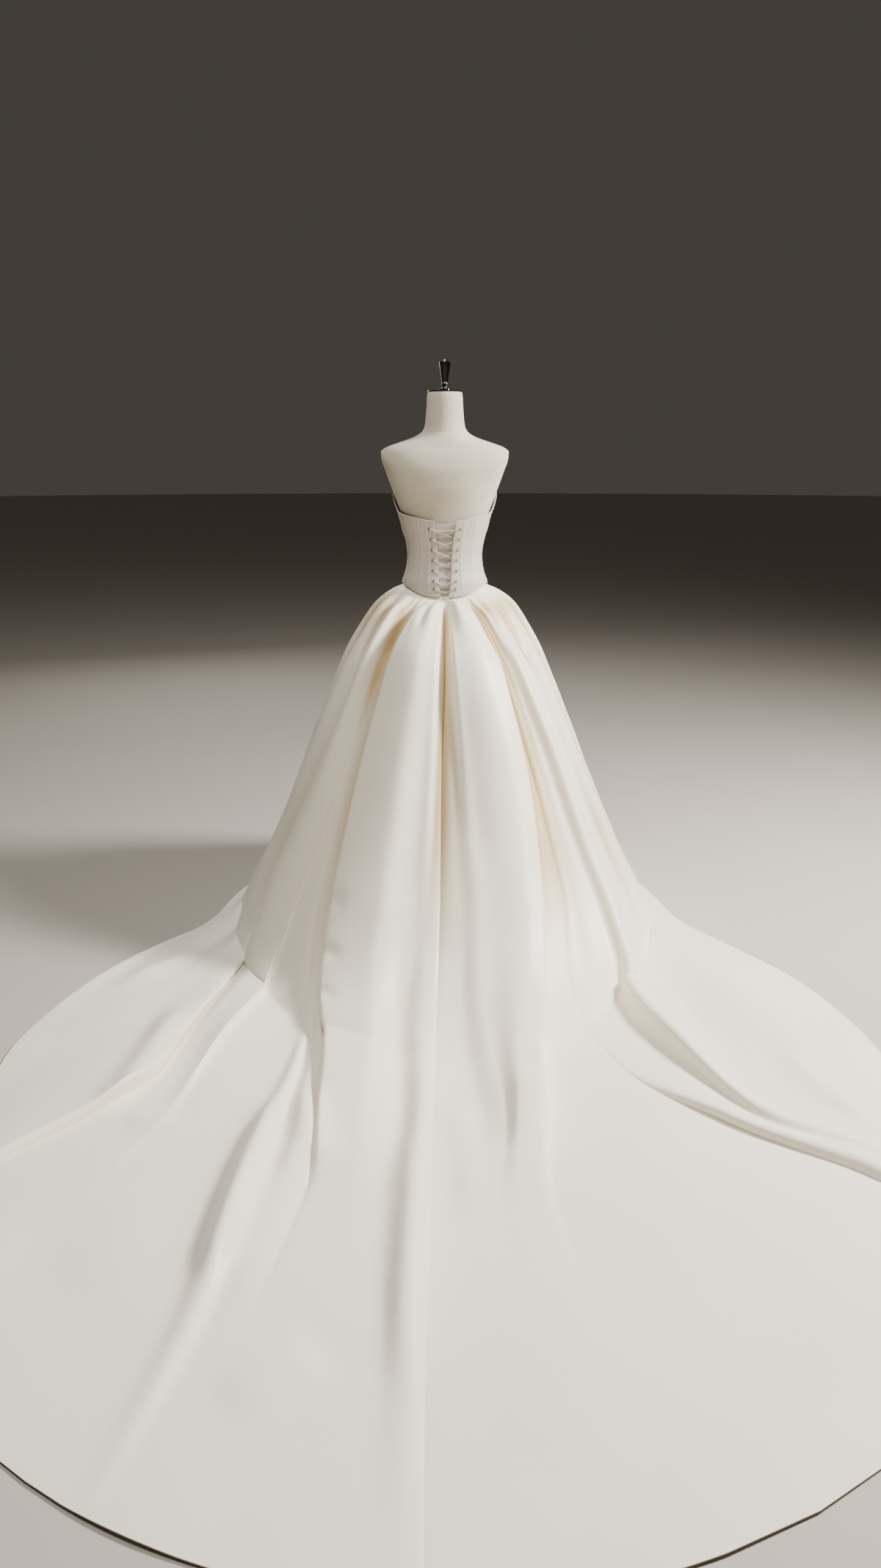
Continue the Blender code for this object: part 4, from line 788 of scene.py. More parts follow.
def joined_tubes(name, paths, radius, sides=10):
    """One mesh of several tubes."""
    cage = bmesh.new()
    for path in paths:
        part = tube_mesh("cord", path, radius, sides)
        cage.from_mesh(part)
        bpy.data.meshes.remove(part)
    return baked(cage, name)


def turned_mesh(name, profile, base, steps=96):
    """A profile of distance and height turned round the axis, with the creases of its corners kept."""
    cage = bmesh.new()
    points = [cage.verts.new((distance * MM, 0, base + height * MM)) for distance, height in profile]
    edges = [cage.edges.new(pair) for pair in zip(points, points[1:])]
    bmesh.ops.spin(
        cage, geom=points + edges, cent=(0, 0, 0), axis=(0, 0, 1), angle=math.tau, steps=steps, use_merge=True
    )
    bmesh.ops.remove_doubles(cage, verts=cage.verts[:], dist=1e-6)
    bmesh.ops.recalc_face_normals(cage, faces=cage.faces[:])
    mesh = baked(cage, name)
    mesh.set_sharp_from_angle(angle=math.radians(35))
    return mesh


# ---------------------------------------------------------------- materials
def set_inputs(node, inputs):
    """Sets a node's inputs: each is a value, or another node's output."""
    for key, value in inputs.items():
        if isinstance(value, bpy.types.NodeSocket):
            node.id_data.links.new(value, node.inputs[key])
        else:
            node.inputs[key].default_value = value


def add_node(tree, kind, inputs=None, output=0, **settings):
    """Adds a node with its settings and inputs, and gives back one of its outputs."""
    node = tree.nodes.new(kind)
    for name, value in settings.items():
        setattr(node, name, value)
    set_inputs(node, inputs or {})
    return node.outputs[output]


def start_material(name):
    """An empty material's node tree, and its Object coordinates."""
    material = bpy.data.materials.new(name)
    material.use_nodes = True
    return material.node_tree, add_node(material.node_tree, "ShaderNodeTexCoord", output="Object")


def close_material(name, tree, **inputs):
    """Sets the Principled shader's inputs, with underscores for the spaces in their names."""
    set_inputs(tree.nodes["Principled BSDF"], {key.replace("_", " "): value for key, value in inputs.items()})
    return bpy.data.materials[name]


def shaded(colour, share):
    return (*[min(1.0, part * share) for part in colour[:3]], 1.0)


def weave_height(tree, coordinates, thread, weft_share):
    """Height of a weave whose threads are that far apart: warp floats and weft lines."""
    scale = math.pi / (10 * thread)  # the wave texture's own measure: one band every pi / (10 * scale)
    warp = {"Vector": coordinates, "Scale": scale, "Distortion": 0.6, "Detail": 1.0, "Detail Scale": 2.0}
    weft = {"Vector": coordinates, "Scale": scale * weft_share, "Distortion": 0.8, "Detail": 1.0}
    warp = add_node(tree, "ShaderNodeTexWave", warp, "Fac", bands_direction="X")
    weft = add_node(tree, "ShaderNodeTexWave", weft, "Fac", bands_direction="Y")
    return add_node(tree, "ShaderNodeMath", {0: weft, 1: 0.6, 2: warp}, operation="MULTIPLY_ADD")


def satin_material(name, face, fold, roughness, mottle, thread):
    """Woven duchesse satin: long warp floats give a broad soft gloss, and deep folds are painted a warm tan as
    shade.
    """
    tree, place = start_material(name)
    uv = add_node(tree, "ShaderNodeUVMap", uv_map=UV_NAME)
    hollow = add_node(tree, "ShaderNodeAttribute", output="Fac", attribute_name=PAINTED_FOLD_SHADE)
    cloud = add_node(tree, "ShaderNodeTexNoise", {"Vector": place, "Scale": 2.6, "Detail": 4.0})
    slub = add_node(tree, "ShaderNodeTexNoise", {"Vector": place, "Scale": 180.0, "Detail": 2.0})
    tints = {0: cloud, 6: shaded(face, 1 - mottle), 7: shaded(face, 1.03)}
    open_face = add_node(tree, "ShaderNodeMix", tints, 2, data_type="RGBA")
    # painted shade: the fold colour is mixed in by the painted fold shade attribute
    colour = add_node(tree, "ShaderNodeMix", {0: hollow, 6: open_face, 7: fold}, 2, data_type="RGBA")
    spread = {"To Min": roughness - 0.05, "To Max": roughness + 0.05}
    gloss = {"Value": cloud, "From Min": 0.3, "From Max": 0.7, **spread}
    # real threads are 0.2 mm apart and would never show, so they are drawn coarser
    weave = weave_height(tree, uv, thread, 0.45)
    fine = add_node(tree, "ShaderNodeBump", {"Height": weave, "Distance": 0.00006, "Strength": 0.35})
    return close_material(
        name, tree, Base_Color=colour, Roughness=add_node(tree, "ShaderNodeMapRange", gloss),
        Sheen_Weight=0.12, Sheen_Roughness=0.35, IOR=1.46, Specular_IOR_Level=0.5,
        Normal=add_node(
            tree, "ShaderNodeBump", {"Height": slub, "Distance": 0.0002, "Strength": 0.12, "Normal": fine}
        ),
    )


def lace_material(name, face, cord):
    """Corded lace sewn over satin: a matt net with raised yarn, a shade lighter than the ground."""
    tree, _ = start_material(name)
    uv = add_node(tree, "ShaderNodeUVMap", uv_map=UV_NAME)
    raised = []
    # size of the net's holes and of the cordwork's motifs, and the thickness of their yarn as a share
    for size, thin, thick in ((0.0032, 0.04, 0.16), (0.021, 0.02, 0.07)):
        cells = {"Vector": uv, "Scale": 1 / size}
        edge = add_node(tree, "ShaderNodeTexVoronoi", cells, "Distance", feature="DISTANCE_TO_EDGE")
        yarn = {"Value": edge, "From Min": thin, "From Max": thick, "To Min": 1.0, "To Max": 0.0}
        raised.append(add_node(tree, "ShaderNodeMapRange", yarn))
    net, cordwork = raised
    both = add_node(tree, "ShaderNodeMath", {0: net, 1: cordwork}, operation="MAXIMUM")
    low = add_node(tree, "ShaderNodeBump", {"Height": net, "Distance": 0.0003, "Strength": 0.5})
    return close_material(
        name, tree, Sheen_Weight=0.25, Sheen_Roughness=0.5, IOR=1.46, Specular_IOR_Level=0.35,
        Base_Color=add_node(tree, "ShaderNodeMix", {0: both, 6: face, 7: cord}, 2, data_type="RGBA"),
        Roughness=add_node(tree, "ShaderNodeMapRange", {"Value": both, "To Min": 0.42, "To Max": 0.7}),
        Normal=add_node(
            tree, "ShaderNodeBump", {"Height": cordwork, "Distance": 0.0008, "Strength": 0.7, "Normal": low}
        ),
    )


def bead_material(name, colour):
    """Moulded glass seed beads with a pearl lustre: small hard highlights."""
    tree, place = start_material(name)
    tint = add_node(tree, "ShaderNodeTexNoise", {"Vector": place, "Scale": 160.0, "Detail": 1.0})
    lustre = {0: tint, 6: colour, 7: linear("DFE0E6")}
    return close_material(
        name, tree, Base_Color=add_node(tree, "ShaderNodeMix", lustre, 2, data_type="RGBA"),
        Roughness=0.12, IOR=1.52, Coat_Weight=0.8, Coat_Roughness=0.05,
    )


def cord_material(name, face, gap, pitch):
    """Braided polyester cord: strands cross at a steep slant, with painted shade in the thin dark gaps between
    them.
    """
    tree, _ = start_material(name)
    uv = add_node(tree, "ShaderNodeUVMap", uv_map=UV_NAME)
    strands = []
    for turn in (0.7, -0.7):
        slanted = add_node(tree, "ShaderNodeMapping", {"Vector": uv, "Rotation": (0, 0, turn)})
        bands = {"Vector": slanted, "Scale": math.pi / (10 * pitch)}
        strands.append(add_node(tree, "ShaderNodeTexWave", bands, "Fac", bands_direction="X"))
    both = add_node(tree, "ShaderNodeMath", dict(enumerate(strands)), operation="MULTIPLY")
    # painted shade: the darker gap colour between the strands
    seen = add_node(tree, "ShaderNodeMapRange", {"Value": both, "From Max": 0.5})
    return close_material(
        name, tree, Sheen_Weight=0.2, Sheen_Roughness=0.4, IOR=1.5,
        Base_Color=add_node(tree, "ShaderNodeMix", {0: seen, 6: gap, 7: face}, 2, data_type="RGBA"),
        Roughness=add_node(tree, "ShaderNodeMapRange", {"Value": both, "To Min": 0.6, "To Max": 0.42}),
        Normal=add_node(tree, "ShaderNodeBump", {"Height": both, "Distance": 0.0003, "Strength": 0.6}),
    )


def jersey_material(name, face, worn):
    """Cotton jersey stretched over a padded form: a matt knit with faint ribs and handling marks."""
    tree, place = start_material(name)
    uv = add_node(tree, "ShaderNodeUVMap", uv_map=UV_NAME)
    blotch = {"Vector": place, "Scale": 7.0, "Detail": 5.0, "Roughness": 0.6}
    blotches = add_node(tree, "ShaderNodeTexNoise", blotch)
    marks = {"Value": blotches, "From Min": 0.35, "From Max": 0.7, "To Max": 0.8}
    handled = add_node(tree, "ShaderNodeMapRange", marks)
    fuzz = add_node(tree, "ShaderNodeTexNoise", {"Vector": place, "Scale": 420.0, "Detail": 2.0})
    matt = {"Value": fuzz, "From Min": 0.2, "From Max": 0.8, "To Min": 0.78, "To Max": 0.95}
    # the knit's ribs are 0.6 mm apart, drawn at 1.2 mm so that they can show
    knit = weave_height(tree, uv, 0.0012, 1.0)
    ribs = add_node(tree, "ShaderNodeBump", {"Height": knit, "Distance": 0.00015, "Strength": 0.4})
    return close_material(
        name, tree, Sheen_Weight=0.3, Sheen_Roughness=0.6, IOR=1.5, Specular_IOR_Level=0.25,
        Base_Color=add_node(tree, "ShaderNodeMix", {0: handled, 6: face, 7: worn}, 2, data_type="RGBA"),
        Roughness=add_node(tree, "ShaderNodeMapRange", matt),
        Normal=add_node(
            tree, "ShaderNodeBump", {"Height": fuzz, "Distance": 0.0002, "Strength": 0.3, "Normal": ribs}
        ),
    )


def metal_material(name, face, roughness, grain, metallic=1.0):
    """Plated or enamelled metal: polish marks and small changes of gloss, and little metal under enamel."""
    tree, place = start_material(name)
    polish = {"Vector": place, "Scale": grain, "Detail": 4.0, "Roughness": 0.6}
    marks = add_node(tree, "ShaderNodeTexNoise", polish)
    spread = {"To Min": roughness * 0.8, "To Max": roughness * 1.3}
    gloss = {"Value": marks, "From Min": 0.3, "From Max": 0.7, **spread}
    dull = {0: marks, 6: shaded(face, 0.9), 7: face}
    return close_material(
        name, tree, Metallic=metallic, Base_Color=add_node(tree, "ShaderNodeMix", dull, 2, data_type="RGBA"),
        Roughness=add_node(tree, "ShaderNodeMapRange", gloss),
        Normal=add_node(tree, "ShaderNodeBump", {"Height": marks, "Distance": 0.0001, "Strength": 0.15}),
    )


def floor_material(name, face):
    """Matt studio floor paint, rolled on: hardly any gloss and a faint unevenness."""
    tree, place = start_material(name)
    cloud = add_node(tree, "ShaderNodeTexNoise", {"Vector": place, "Scale": 1.4, "Detail": 3.0})
    matt = {"Value": cloud, "From Min": 0.3, "From Max": 0.7, "To Min": 0.75, "To Max": 0.9}
    dull = {0: cloud, 6: shaded(face, 0.94), 7: face}
    return close_material(
        name, tree, Specular_IOR_Level=0.2, Roughness=add_node(tree, "ShaderNodeMapRange", matt),
        Base_Color=add_node(tree, "ShaderNodeMix", dull, 2, data_type="RGBA"),
    )


def material_named(name, maker, *settings):
    """The material of that name, made on first use."""
    values = [setting if isinstance(setting, float) else tuple(setting) for setting in settings]
    return bpy.data.materials.get(name) or maker(name, *values)


# ---------------------------------------------------------------- geometry nodes
def start_tree(name, inputs):
    """A geometry node tree with named number inputs, and the outputs of its input node."""
    tree = bpy.data.node_groups.new(name, "GeometryNodeTree")
    for direction in ("INPUT", "OUTPUT"):
        tree.interface.new_socket("Geometry", in_out=direction, socket_type="NodeSocketGeometry")
    for label, value in inputs.items():
        kind = "NodeSocketInt" if isinstance(value, int) else "NodeSocketFloat"
        tree.interface.new_socket(label, in_out="INPUT", socket_type=kind).default_value = value
    return tree, tree.nodes.new("NodeGroupInput").outputs


def close_tree(tree, geometry, material):
    """Ends a tree in Realize Instances, smooth shading and Set Material."""
    real = add_node(tree, "GeometryNodeRealizeInstances", {"Geometry": geometry})
    smoothed = add_node(tree, "GeometryNodeSetShadeSmooth", {"Geometry": real})
    done = add_node(tree, "GeometryNodeSetMaterial", {"Geometry": smoothed, "Material": material})
    tree.links.new(done, tree.nodes.new("NodeGroupOutput").inputs["Geometry"])
    return tree


def made_by_nodes(name, source, tree, values):
    """A plain mesh object from a source object with the tree's modifier on it. The source is removed."""
    modifier = source.modifiers.new(tree.name, "NODES")
    modifier.node_group = tree
    sockets = {item.name: item.identifier for item in tree.interface.items_tree if item.in_out == "INPUT"}
    for label, value in values.items():
        modifier[sockets[label]] = value
    mesh = evaluated_mesh(source)
    mesh.name = name
    return new_object(name, mesh)


def stitch_tree(material):
    """Stitches laid end to end along a line: small rounded lengths of thread."""
    tree, sizes = start_tree("stitches", {"Spacing": 0.003, "Length": 0.0022, "Thickness": 0.0005})
    line = add_node(tree, "GeometryNodeMeshToCurve", {"Mesh": sizes["Geometry"]})
    spaced = {"Curve": line, "Length": sizes["Spacing"]}
    places = add_node(tree, "GeometryNodeResampleCurve", spaced, mode="LENGTH")
    grain = add_node(tree, "GeometryNodeMeshIcoSphere", {"Radius": 0.5, "Subdivisions": 1}, "Mesh")
    lengths = {0: sizes["Length"], 1: sizes["Thickness"], 2: sizes["Thickness"]}
    size = add_node(tree, "ShaderNodeCombineXYZ", lengths)
    direction = {"Vector": add_node(tree, "GeometryNodeInputTangent")}
    turn = add_node(tree, "FunctionNodeAlignRotationToVector", direction, axis="X")
    laid = {"Points": places, "Instance": grain, "Rotation": turn, "Scale": size}
    return close_tree(tree, add_node(tree, "GeometryNodeInstanceOnPoints", laid), material)


def eyelet_tree(shape, material):
    """A copy of the eyelet on each point, turned square to the panel by the point's own turn."""
    tree, sizes = start_tree("eyelets", {"Size": 1.0})
    named = {"Name": "turn"}
    turn = add_node(tree, "GeometryNodeInputNamedAttribute", named, "Attribute", data_type="QUATERNION")
    copy = add_node(tree, "GeometryNodeObjectInfo", {"Object": shape}, "Geometry")
    laid = {"Points": sizes["Geometry"], "Instance": copy, "Rotation": turn, "Scale": sizes["Size"]}
    return close_tree(tree, add_node(tree, "GeometryNodeInstanceOnPoints", laid), material)


def scatter_tree(name, shape, material):
    """Copies of one small object over a surface, a least distance apart and turned at random."""
    tree, sizes = start_tree(name, {"Apart": 0.006, "Seed": 1, "Smallest": 0.7, "Largest": 1.1})
    seed = sizes["Seed"]
    spread = {"Mesh": sizes["Geometry"], "Distance Min": sizes["Apart"], "Density Max": 60000.0, "Seed": seed}
    points = add_node(
        tree, "GeometryNodeDistributePointsOnFaces", spread, "Points", distribute_method="POISSON"
    )
    copy = add_node(tree, "GeometryNodeObjectInfo", {"Object": shape}, "Geometry")
    spin = add_node(tree, "FunctionNodeRandomValue", {2: 0.0, 3: math.tau, "Seed": seed}, 1, data_type="FLOAT")
    scale = {2: sizes["Smallest"], 3: sizes["Largest"], "Seed": seed}
    size = add_node(tree, "FunctionNodeRandomValue", scale, 1, data_type="FLOAT")
    about = add_node(tree, "FunctionNodeAxisAngleToRotation", {"Axis": (0, 0, 1), "Angle": spin})
    turned = {"Rotation": points.node.outputs["Rotation"], "Rotate By": about}
    turn = add_node(tree, "FunctionNodeRotateRotation", turned, rotation_space="LOCAL")
    laid = {"Points": points, "Instance": copy, "Rotation": turn, "Scale": size}
    return close_tree(tree, add_node(tree, "GeometryNodeInstanceOnPoints", laid), material)


# ---------------------------------------------------------------- settings
def length_property(name, description, default):
    return bpy.props.FloatProperty(name=name, description=description, default=default, min=0.0, unit="LENGTH")


def colour_property(name, description, code):
    return bpy.props.FloatVectorProperty(
        name=name, description=description, default=linear(code), size=4, min=0.0, max=1.0, subtype="COLOR"
    )


class GownSizes(bpy.types.PropertyGroup):
    """Sizes of the finer pieces."""

    cloth: length_property("Skirt cloth", "Wall of the skirt satin with its interlining", CLOTH)
    panel: length_property("Bodice cloth", "Wall of a bodice panel", PANEL)
    lace_radius: length_property("Lacing cord", "Half the cord's diameter", LACE_RADIUS)
    piping_radius: length_property("Piping", "Half the thickness of the roll on the top edge", 0.0016)
    band_height: length_property("Waist band", "Height of the strip along the back panels' lower edge", 0.016)
    stitch_spacing: length_property("Stitch spacing", "From one stitch to the next", 0.0034)
    bead_radius: length_property("Bead", "Half the width of a bead on the lace", 0.0012)
    bead_apart: length_property("Bead spacing", "Least distance between two beads", 0.0066)
    motif_apart: length_property("Motif spacing", "Least distance between two lace flowers", 0.0195)


class GownColours(bpy.types.PropertyGroup):
    """Colours of the gown, form and stage."""

    satin: colour_property("Satin", "Skirt satin where it is open to the light", "FAF3E1")
    # painted shade: the tan painted on the skirt satin at the bottom of deep folds
    satin_painted_shade: colour_property("Satin in folds", "Skirt satin at the bottom of deep folds", "C8AD7C")
    # Bodice satin: a duller satin, its colour also darkened as painted shade on the upright panels
    bodice: colour_property("Bodice satin", "Back and side panels", "CDC4B8")
    bodice_painted_shade: colour_property("Bodice satin in folds", "Its shaded tint", "B9AA92")
    lace: colour_property("Lace ground", "Satin under the lace", "E7E2D6")
    lace_cord: colour_property("Lace yarn", "Raised yarn of the lace", "F4F1E9")
    bead: colour_property("Beads", "Seed beads", "F6F3EC")
    cord: colour_property("Lacing cord", "Strands of the cord", "E9E3D4")
    # painted shade: the darker colour between the cord's strands
    cord_gap_shade: colour_property("Cord gaps", "Gaps between the strands", "B5AA94")
    thread: colour_property("Thread", "Sewing thread", "EFEBE0")
    eyelet: colour_property("Eyelets", "Plated eyelets", "7D7566")
    jersey: colour_property("Form cover", "Jersey of the dress form", "CFC8B3")
    jersey_worn: colour_property("Form cover, worn", "Handled places of the jersey", "B8AF98")
    # Cap and finial: plated metal, its colour also darkened as a painted reflection of dark surroundings
    plate_and_painted_reflection: colour_property("Cap and finial", "Plated cap and finial", "77726D")
    enamel: colour_property("Stand", "Enamel of the pole and foot", "26262A")
    floor: colour_property("Floor", "Studio floor", "BDB6AB")
    world: colour_property("Surroundings", "Light from all round", "A89F94")


# ---------------------------------------------------------------- stage
class GOWN_OT_stage(bpy.types.Operator):
    """Floor, soft lights, surroundings and the camera behind the train"""

    bl_idname = "gown.stage"
    bl_label = "Stage"

    def execute(self, context):
        colours = context.scene.gown_colours
        angles = [math.tau * i / FLOOR_SIDES for i in range(FLOOR_SIDES)]
        rim = [(FLOOR_RADIUS * math.cos(a), FLOOR_RADIUS * math.sin(a), -FLOOR_DROP) for a in angles]
        mesh = bpy.data.meshes.new("studio_floor")
        mesh.from_pydata(rim, [], [tuple(range(FLOOR_SIDES))])
        mesh.materials.append(material_named("rolled_matt_floor_paint", floor_material, colours.floor))
        new_object("studio_floor", mesh)
        world = bpy.data.worlds.new("studio")
        world.use_nodes = True
        around = {"Color": tuple(colours.world), "Strength": WORLD_STRENGTH}
        set_inputs(world.node_tree.nodes["Background"], around)
        context.scene.world = world
        for name, place, aim, side, watts in LIGHTS:
            lamp = bpy.data.lights.new(name, "AREA")
            lamp.shape, lamp.size, lamp.energy, lamp.color = "SQUARE", side, watts, LIGHT_TINT
            light = new_object(name, lamp)
            light.location = place
            light.rotation_euler = (Vector(aim) - Vector(place)).to_track_quat("-Z", "Y").to_euler()
        camera = bpy.data.cameras.new("camera")
        camera.sensor_width, camera.lens, camera.clip_end = SENSOR_MM, LENS_MM, 200.0
        eye = new_object("camera", camera)
        eye.location = EYE
        eye.rotation_euler = (math.radians(90 - EYE_PITCH), 0, math.radians(180 + EYE_TURN))
        context.scene.camera = eye
        return {"FINISHED"}


# ---------------------------------------------------------------- lacing
def eyelet_places():
    """Each eyelet's middle on the panel's face, and the turn that sets it square to the panel."""
    for side, _ in SIDES:
        for height, apart in LACING:
            at = back_azimuth(side * apart / 2, height)
            face, out = Vector(body_points(at, height)), Vector(body_points(at, height, CM))
            yield face, (out - face).to_track_quat("Z", "Y")


def eyelet_mesh():
    """One eyelet: a rolled flange on the panel's face and a short barrel through it."""
    angles = np.linspace(0, math.tau, EYELET_SIDES, endpoint=False)
    rings = [np.stack([r * np.cos(angles), r * np.sin(angles), h + 0 * angles], -1) for r, h in EYELET_PROFILE]
    faces = [face[::-1] for face in ring_quads(len(rings), EYELET_SIDES)]
    return grid_mesh("eyelet_shape", np.concatenate(rings) * MM, faces)


def punch_holes(mesh, side):
    """A back panel's mesh with the eyelet holes cut through it, by one cutter for all of them."""
    cutters = bmesh.new()
    for face, turn in eyelet_places():
        if face.x * side > 0:
            matrix = turn.to_matrix().to_4x4()
            matrix.translation = face
            bmesh.ops.create_cone(
                cutters, cap_ends=True, segments=24, radius1=HOLE_RADIUS, radius2=HOLE_RADIUS, depth=12 * MM,
                matrix=matrix,
            )
    cutter = new_object("hole_cutter", baked(cutters, "hole_cutter", smoothed=False))
    panel = new_object("hole_panel", mesh)
    modifier = panel.modifiers.new("holes", "BOOLEAN")
    modifier.solver, modifier.operation, modifier.object = "EXACT", "DIFFERENCE", cutter
    cut = evaluated_mesh(panel)
    bpy.data.objects.remove(cutter)
    return cut


def eyelet_way(side, row, upwards):
    """The lace's way through an eyelet, from the under side to the top or back."""
    height, apart = LACING[row]
    way = [(side * (apart / 2 - nearer), height, out) for nearer, out in HOLE_WAY]
    return way if upwards else way[::-1]


def crossing(side, row, middle):
    """The lace's way over the gap, from one eyelet to the next row's on the other side."""
    (height, apart), (next_height, next_apart) = LACING[row], LACING[row + 1]
    start, end = side * apart / 2, -side * next_apart / 2
    places = (
        (side * panel_edge(height), ON_PANEL if row > 0 else UNDER_PANEL), (0.0, middle),
        (-side * panel_edge(next_height), UNDER_PANEL),
    )
    rise = (next_height - height) / (start - end)
    return [(across, height + rise * (start - across), out) for across, out in places]


def lace_route(side, middle, first_middle):
    """One half of the lace, from the middle of its top bar down to its last eyelet and the knot."""
    height, apart = LACING[0]
    route = [
        (side * GAP / 2, height - BAR_SAG, ON_PANEL), (side * apart / 4, height - BAR_SAG * 0.7, ON_PANEL),
        *eyelet_way(side, 0, False),
    ]
    for row in range(len(LACING) - 1):
        route += crossing(side, row, middle if row > 0 else first_middle)
        side = -side
        route += eyelet_way(side, row + 1, True)
    route.append((side * (KNOT_HALF + GAP), KNOT_HEIGHT + 0.002, KNOT_OUT))
    return [body_points(back_azimuth(across, at), at, out) for across, at, out in route]


def over_skirt(azimuth, level, out):
    """Point that far outside the skirt's inner face, near the centre back."""
    back = [(*line[:2], tuple(a - TURN for a in line[2]), *line[3:]) for line in BACK_RIGHT]
    lines = [*back, *BACK_LEFT]
    places = [line_values(line, level) for line in lines]
    k = next(i for i in range(len(places) - 1) if places[i + 1][0] >= azimuth)
    (start, low, _), (end, high, _) = places[k], places[k + 1]
    share = between(lines[k][1], lines[k + 1][1], (azimuth - start) / (end - start))
    distance, height, square_out, square_up = base_frame(azimuth, level)
    raised = low + (high - low) * share + out
    angle = math.radians(azimuth)
    distance += raised * square_out
    return np.array([distance * math.sin(angle), distance * math.cos(angle), height + raised * square_up])


def knot_paths(radius):
    """A knot pulled tight, the cord wound twice round itself, and its two small loops hanging beside it."""
    centre = body_points(0.0, KNOT_HEIGHT, KNOT_OUT)
    turns = np.linspace(0, 2 * math.tau, 64)
    wide, tall = KNOT_HALF - radius * 0.7, KNOT_HALF * 0.62
    wave = np.sin(turns * 1.5)
    wound = [wide * np.cos(turns) * (1 - 0.25 * wave), -0.0002 + 0.0011 * wave, tall * np.sin(turns)]
    paths = [centre + np.stack(wound, -1)]
    t = np.linspace(0, 1, 40)
    reach = np.maximum(np.sin(t * math.pi), 0) ** 0.8
    for across, down, half_width, out in KNOT_LOOPS:
        spread = half_width * np.sin(t * math.tau) / math.hypot(across, down)
        x, z = across * reach - down * spread, down * reach + across * spread
        paths.append(centre + np.stack([x, 0.0012 + out * reach, z], -1))
    return paths


class GOWN_OT_lacing(bpy.types.Operator):
    """The lacing cord, its knot and free ends, and the eyelets"""

    bl_idname = "gown.lacing"
    bl_label = "Lacing"

    def execute(self, context):
        sizes, colours = context.scene.gown_sizes, context.scene.gown_colours
        radius = sizes.lace_radius
        cord = material_named("braided_polyester_cord", cord_material, colours.cord, colours.cord_gap_shade, 0.0009)
        for node, *half in LACE_HALVES:
            route = lace_route(*half)
            mesh = tube_mesh(node, rounded_path(route, 6 * len(route)), radius)
            add_piece(f"{node}_cord", mesh, cord, "lacing_cord", node)
        knot = joined_tubes("lace_bow_knot", knot_paths(radius), radius)
        add_piece("lace_bow_knot", knot, cord, "lacing_cord", "lace_knot")
        for letter, route in (("l", END_LEFT), ("r", END_RIGHT)):
            node = f"lace_end_{letter}"
            points = [over_skirt(at, level, CLOTH + LACE_RADIUS + out) for at, level, out in route]
            path = rounded_path(points, 40)
            piece = add_piece(f"{node}_cord", tube_mesh(node, path, radius), cord, "lacing_cord", node)
            tuple(path[0])
            [tuple(p) for p in path]
        self.add_eyelets(colours)
        return {"FINISHED"}

    def add_eyelets(self, colours):
        """Rolled rings in their holes, one for each end of each lacing row."""
        metal = material_named("nickel_plated_eyelet", metal_material, colours.eyelet, 0.32, 900.0)
        places, turns = zip(*eyelet_places())
        mesh = bpy.data.meshes.new("eyelet_places")
        mesh.from_pydata(places, [], [])
        attribute = mesh.attributes.new("turn", "QUATERNION", "POINT")
        attribute.data.foreach_set("value", [part for turn in turns for part in turn])
        shape = new_object("eyelet_shape", eyelet_mesh())
        tree = eyelet_tree(shape, metal)
        rings = made_by_nodes("eyelet_rings", new_object("eyelet_places", mesh), tree, {"Size": 1.0})
        bpy.data.objects.remove(shape)
        nodes = [f"eyelet_{side}{row + 1}" for side in "lr" for row in range(len(LACING))]
        placed(rings, "eyelet_metal", *nodes)


# ---------------------------------------------------------------- dress form
def form_mesh():
    """The form's cover as one closed skin, with the neck's seam pressed in."""
    runs = ((0.900, 1.44, 56), (1.44, 1.52, 34), (1.52, 1.617, 16))
    heights = np.unique(np.concatenate([*[np.linspace(*run) for run in runs], [NECK_SEAM, 1.6185, 1.62]]))
    azimuth = np.linspace(0, TURN, FORM_SIDES, endpoint=False)
    angle = np.radians(azimuth)
    rings = []
    for height in heights:
        sizes = [float(smooth(FORM_SECTIONS, height, i)) for i in (1, 2, 3, 4)]
        seam = 0.0012 * math.exp(-(((height - NECK_SEAM) / 0.0016) ** 2))
        distance = section_distance(azimuth, *sizes) - seam
        rings.append(np.stack([distance * np.sin(angle), distance * np.cos(angle), height + 0 * angle], -1))
    last = (len(rings) - 1) * FORM_SIDES
    faces = [face[::-1] for face in ring_quads(len(rings), FORM_SIDES)]
    faces += [tuple(range(FORM_SIDES)), tuple(range(last, last + FORM_SIDES))[::-1]]
    uv = np.stack(np.broadcast_arrays(angle[None] * 0.15, heights[:, None]), -1).reshape(-1, 2)
    mesh = grid_mesh("form_cover", np.concatenate(rings), faces, uv)
    mesh.set_sharp_from_angle(angle=math.radians(50))
    return mesh


class GOWN_OT_form(bpy.types.Operator):
    """The dress form with its cap, finial and stand"""

    bl_idname = "gown.form"
    bl_label = "Dress form"

    def execute(self, context):
        colours = context.scene.gown_colours
        jersey = material_named("knitted_cotton_jersey", jersey_material, colours.jersey, colours.jersey_worn)
        add_piece("form_cover", form_mesh(), jersey, "form_cloth", "form_torso")
        # the plate's darker colour is partly a painted reflection of dark surroundings
        plate = material_named("polished_nickel_plate", metal_material, colours.plate_and_painted_reflection, 0.1, 60.0)
        for node, profile in TURNED_PIECES:
            name = f"{node}_plated"
            add_piece(name, turned_mesh(name, profile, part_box(node)[0].z), plate, "polished_chrome", node)
        enamel = material_named("enamelled_steel", metal_material, colours.enamel, 0.4, 140.0, 0.2)
        for name in ("stand_pole", "stand_foot"):
            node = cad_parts[name]
            node.data.materials.clear()
            node.data.materials.append(enamel)
        return {"FINISHED"}


